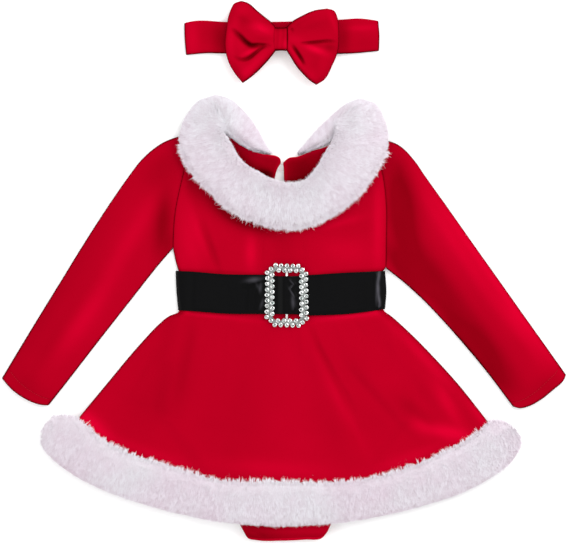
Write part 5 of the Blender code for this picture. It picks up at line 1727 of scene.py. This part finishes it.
KNOT_BOARD = (281.0, 39.4)
KNOT_SIZE = (14.0, 22.8, 12.4)  # along the band, across it and up
KNOT_WALL = 1.4
BAND_TOP = 2 * BAND_FOLD + BAND_CROWN
BOW_FOOT = BAND_TOP + LAYER_GAP + KNOT_WALL + LAYER_GAP
BOW_SHARES = (0.0, 0.12, 0.4, 0.75, 0.94, 1.0)  # of a loop's length, from the knot
BOW_HALVES = (4.7, 5.1, 5.6, 4.8, 3.4, 2.6)  # half its height there
BOW_ROUND = 6.0  # over which its outer end closes, as a quarter circle
# side, upper edge from the knot out, lower edge, outer end from the top, knot end from the top
BOW = (
    (
        "left",
        [(276.4, 33), (275.4, 27.5), (271.2, 22.4), (264.8, 17.3), (257.2, 11), (248.4, 3.5), (241.5, 1.2)],
        [(276.4, 46), (276, 50), (271.4, 57), (264, 65.6), (252.6, 76.4), (243, 83.2)],
        [(241.5, 1.2), (234.6, 3.6), (230, 12), (226.4, 30), (225.2, 47), (228.6, 62), (236, 75)]
        + [(243, 83.2)],
        [(276.4, 33), (276.4, 46)],
    ),
    (
        "right",
        [(285.6, 33), (286.8, 27.5), (291.8, 22.2), (301.5, 16.4), (313.8, 11), (327, 8.8)],
        [(285.6, 46), (286.4, 50), (290.9, 58.1), (296, 66.3), (302.3, 73.8), (310.2, 81.2), (316, 85)],
        [(327, 8.8), (334, 11), (337.6, 19), (338.6, 33), (338, 50), (332, 66), (324, 80), (316, 85)],
        [(285.6, 33), (285.6, 46)],
    ),
)
# top x, top y, low x, low y, half width, height
BOW_RIDGES = (
    (262, 28, 240, 14, 5.0, 1.2),
    (258, 30, 272, 36, 2.6, 0.7),
    (300, 28, 326, 18, 5.0, 1.2),
    (291, 27, 300, 24, 2.0, 0.6),
    (306, 50, 322, 54, 5.0, 0.9),
    (246, 56, 258, 50, 2.2, 0.9),
)
# a line of points, half width above it and below it, height
BOW_CREASES = (
    ([(232.5, 30), (240.5, 36.3), (247, 42.6), (251, 45.2), (258.5, 45.4), (268, 45.9)], 1.4, 3.0, -4.4),
    ([(235, 58.6), (243.4, 60.4), (248.8, 58.9), (254.9, 54.3), (260.3, 49.7), (264, 47)], 1.7, 1.5, -3.2),
    ([(301, 43.8), (307, 43.4), (312.3, 42.8), (320, 42), (329, 41.3), (336.5, 42.2)], 0.9, 1.7, -2.8),
    ([(292.6, 46.6), (295.5, 50.6), (298.5, 55.1), (301.5, 60), (304, 66)], 1.5, 1.5, -3.4),
    ([(288.5, 27), (291.5, 29.8), (293, 33)], 1.3, 1.3, -1.3),
    ([(262, 20.5), (266, 23.2), (271, 26)], 1.0, 1.3, -1.0),
)
CREASE_SHADE = 0.3  # how much shade is painted into a crease for each millimetre down
# Painted highlights on the ridges and painted shade beside the creases.
# x, y, half length, half width, turn, amount
BOW_PAINTED_LIGHT = (
    (260, 29, 12, 5, 18, 0.8),
    (250, 52.5, 9, 2.4, -28, 0.8),
    (236, 24, 16, 5, -70, 0.25),
    (246, 72, 14, 6, 60, 0.3),
    (244, 21, 10, 6, 40, -0.35),
    (240, 47, 10, 5, 60, 0.25),
    (263, 40, 8, 3, 0, -0.2),
    (315, 50, 12, 3.6, 22, 0.9),
    (316, 46, 7, 2.2, 8, -0.4),
    (329.5, 48, 6, 4, 10, -0.55),
    (314, 26, 22, 9, 0, -0.25),
    (334, 24, 16, 3, 68, 0.35),
    (314, 74, 14, 5, 118, 0.25),
    (316, 68, 10, 5, 90, -0.3),
    (294, 40, 8, 4, 0, 0.25),
    (230, 46, 22, 4.5, 88, 0.45),
    (255, 64, 17, 4, 135, 0.45),
    (241, 12, 9, 7, 0, 0.2),
    (297, 61, 20, 3, 56, 0.45),
)


def curved_creases(x, y, table):
    """Creases along smooth lines: a height times a bell of the distance to the line's nearest point, with
    its own half width on the board's upper and lower side, fading to both ends as a sine to the power 0.6."""
    total = np.zeros(np.broadcast(x, y).shape)
    for line, half_above, half_below, height in table:
        run = smooth_run(line, steps=10)
        apart_x, apart_y = x[..., None] - run[:, 0], y[..., None] - run[:, 1]
        distance = np.hypot(apart_x, apart_y)
        nearest = distance.argmin(axis=-1)[..., None]
        below = np.take_along_axis(apart_y, nearest, -1)[..., 0] > 0
        fading = np.sin(np.pi * np.linspace(0.03, 0.97, len(run))) ** 0.6
        half_width = np.where(below, half_below, half_above)
        bell = np.exp(-((distance.min(axis=-1) / half_width) ** 2))
        total = total + height * fading[nearest[..., 0]] * bell
    return total


def bow_crown(x, y, u, v):
    """The creases, and soft ridges that begin 6 mm from the knot's middle and are full 16 mm from it."""
    creases = curved_creases(x, y, BOW_CREASES)
    return creases + folds(x, y, BOW_RIDGES) * smoothstep((np.abs(x - KNOT_BOARD[0]) - 6) / 10)


for side, upper, lower, end, knot_end in BOW:
    upper_edge = Edge(upper)
    loop = patch(Edge(knot_end), Edge(end), upper_edge, Edge(lower))
    rows = np.union1d(np.linspace(0, 0.9, 46), 1 - (1 - np.cos(np.linspace(0, np.pi / 2, 10))) * 0.1)
    nominal = np.interp(rows, BOW_SHARES, BOW_HALVES)
    # evened out over nine rows
    nominal = np.convolve(np.pad(nominal, 4, mode="edge"), np.ones(9) / 9, mode="valid")
    from_end = (1 - rows) * upper_edge.length
    closing = np.sqrt(1 - (1 - np.clip(from_end / BOW_ROUND, 0, 1)) ** 2)
    fold = nominal * closing + 1e-6

    def loop_crown(x, y, u, v, closing=closing):
        """The creases and ridges, lost where the loop closes and at its two sides."""
        return bow_crown(x, y, u, v) * closing[:, None] ** 2 * smoothstep(np.minimum(u, 1 - u) / 0.06)

    lift = (BOW_FOOT + nominal - fold)[:, None]
    place, z, u = tube_rings(loop, fold, loop_crown, lift, rows, np.linspace(0, 1, 66), 8)
    # Painted light and shade, with painted shade deepening down into the creases.
    bow_painted_light = painted_light_patches(place[..., 0], place[..., 1], BOW_PAINTED_LIGHT)
    bow_painted_light = bow_painted_light + CREASE_SHADE * curved_creases(place[..., 0], place[..., 1], BOW_CREASES)
    name, rims = f"bow_{side}_velvet", (True, False)
    bow = tube_shell(name, place, z, u, VELVET, velvet, bow_painted_light, rims, closed_end=True)
    stands_for(bow, [f"bow_{side}"])
    even = np.linspace(0, 1, 60)
    loop_length, loop_area = upper_edge.length * MM, 2 * cut_size(loop(even[None, :], even[:, None]))[1]

# top x, top y, low x, low y, half width, height
KNOT_FOLDS = (
    (277.6, 28, 276.4, 50, 1.5, -0.3),
    (280.5, 28, 279.6, 50, 1.4, 0.25),
    (283.4, 30, 282.6, 50, 1.3, -0.25),
    (285.6, 30, 285.2, 50, 1.2, 0.3),
)
# Painted light and shade on the knot.
# x, y, half length, half width, turn, amount
KNOT_PAINTED_LIGHT = (
    (284.6, 45, 5, 2.0, 90, 0.5),
    (287.8, 36, 10, 1.4, 90, -0.5),
    (280, 29, 8, 3, 0, -0.5),
)
# The knot's section is a rounded rectangle, by a sine and a cosine to the power 0.55, 3% wider at its rims.
turn = np.radians(np.linspace(0, 360, 65)[:-1])
sine, cosine = np.sin(turn), np.cos(turn)
knot_across = np.union1d(np.linspace(-0.5, 0.5, 33), [-0.49, -0.47, 0.47, 0.49])
waist = 1 + 0.03 * (4 * knot_across**2)
knot_y = KNOT_SIZE[1] / 2 * np.sign(sine) * np.abs(sine) ** 0.55 * waist[:, None]
knot_z = KNOT_SIZE[2] / 2 * np.sign(cosine) * np.abs(cosine) ** 0.55
knot_x = KNOT_BOARD[0] + KNOT_SIZE[0] * knot_across[:, None] + 0 * turn
place = np.stack([knot_x, KNOT_BOARD[1] + knot_y], axis=-1)
pleats = folds(place[..., 0], place[..., 1], KNOT_FOLDS) * (cosine > 0)
z = BAND_TOP + LAYER_GAP + KNOT_SIZE[2] / 2 + knot_z[None, :] + pleats
# Painted light on the pleats' ridges and painted shade in their troughs, with the patches.
knot_painted_light = 0.5 * pleats + painted_light_patches(place[..., 0], place[..., 1], KNOT_PAINTED_LIGHT)
u = 0.5 + knot_y / KNOT_SIZE[1]
knot = tube_shell("bow_knot_velvet", place, z, u, KNOT_WALL, velvet, knot_painted_light)
stands_for(knot, ["bow_knot"])


# Studio
# A plain pale floor, lit a little from below as a light table is, one broad soft lamp high at the upper
# right, a weak one at the left and an even sky, with the camera straight above.

FLOOR_DROP = 0.2  # in millimetres, and every other length here in metres
FLOOR_REACH = 3.0
LAMP_REACH = 2.4
KEY_POWER = 28.0
FILL_POWER = 8.0
SKY_STRENGTH = 1.05
CAMERA_HEIGHT = 3.0
VIEW_WIDTH = 0.569
VIEW_CENTRE = (0.0008, 0.0003)

floor_finish = plain_finish("pale_floor", (0.93, 0.93, 0.93), 0.9, specular=0.0, cloudiness=0.004, scale=6.0)
floor_shader = floor_finish.node_tree.nodes["Principled BSDF"]
floor_shader.inputs["Emission Color"].default_value = (1.0, 1.0, 1.0, 1.0)
floor_shader.inputs["Emission Strength"].default_value = 0.16
reach = np.array([-FLOOR_REACH, FLOOR_REACH]) / MM + BOARD_CENTRE[0]
floor_x, floor_y = np.meshgrid(reach, reach, indexing="xy")
floor_points = board_to_frame(floor_x, floor_y, -FLOOR_DROP).reshape(-1, 3)
floor = put_mesh("floor", floor_points, [quads(2, 2)], [floor_finish])


def soft_lamp(name, towards, reach, size, power):
    """A square lamp in a direction from the part's middle, turned to face it."""
    lamp = bpy.data.lights.new(name, "AREA")
    lamp.shape = "SQUARE"
    lamp.size = size
    lamp.energy = power
    made = bpy.data.objects.new(name, lamp)
    direction = np.array(towards) / np.linalg.norm(towards)
    made.location = direction * reach
    made.rotation_euler = made.location.to_track_quat("Z", "Y").to_euler()
    bpy.context.scene.collection.objects.link(made)


soft_lamp("key_lamp", (0.8, 0.7, 1.0), LAMP_REACH, size=1.6, power=KEY_POWER)
soft_lamp("fill_lamp", (-1.0, -0.1, 0.8), LAMP_REACH, size=1.4, power=FILL_POWER)
sky = bpy.data.worlds.new("even_sky")
sky.use_nodes = True
sky.node_tree.nodes["Background"].inputs["Color"].default_value = (1.0, 1.0, 1.0, 1.0)
sky.node_tree.nodes["Background"].inputs["Strength"].default_value = SKY_STRENGTH
bpy.context.scene.world = sky

lens = bpy.data.cameras.new("camera")
lens.sensor_width = 36.0
lens.lens = lens.sensor_width * CAMERA_HEIGHT / VIEW_WIDTH
lens.clip_end = 20.0
camera = bpy.data.objects.new("camera", lens)
camera.location = (*VIEW_CENTRE, CAMERA_HEIGHT)
bpy.context.scene.collection.objects.link(camera)
bpy.context.scene.camera = camera
bpy.context.scene.view_settings.view_transform = "Standard"
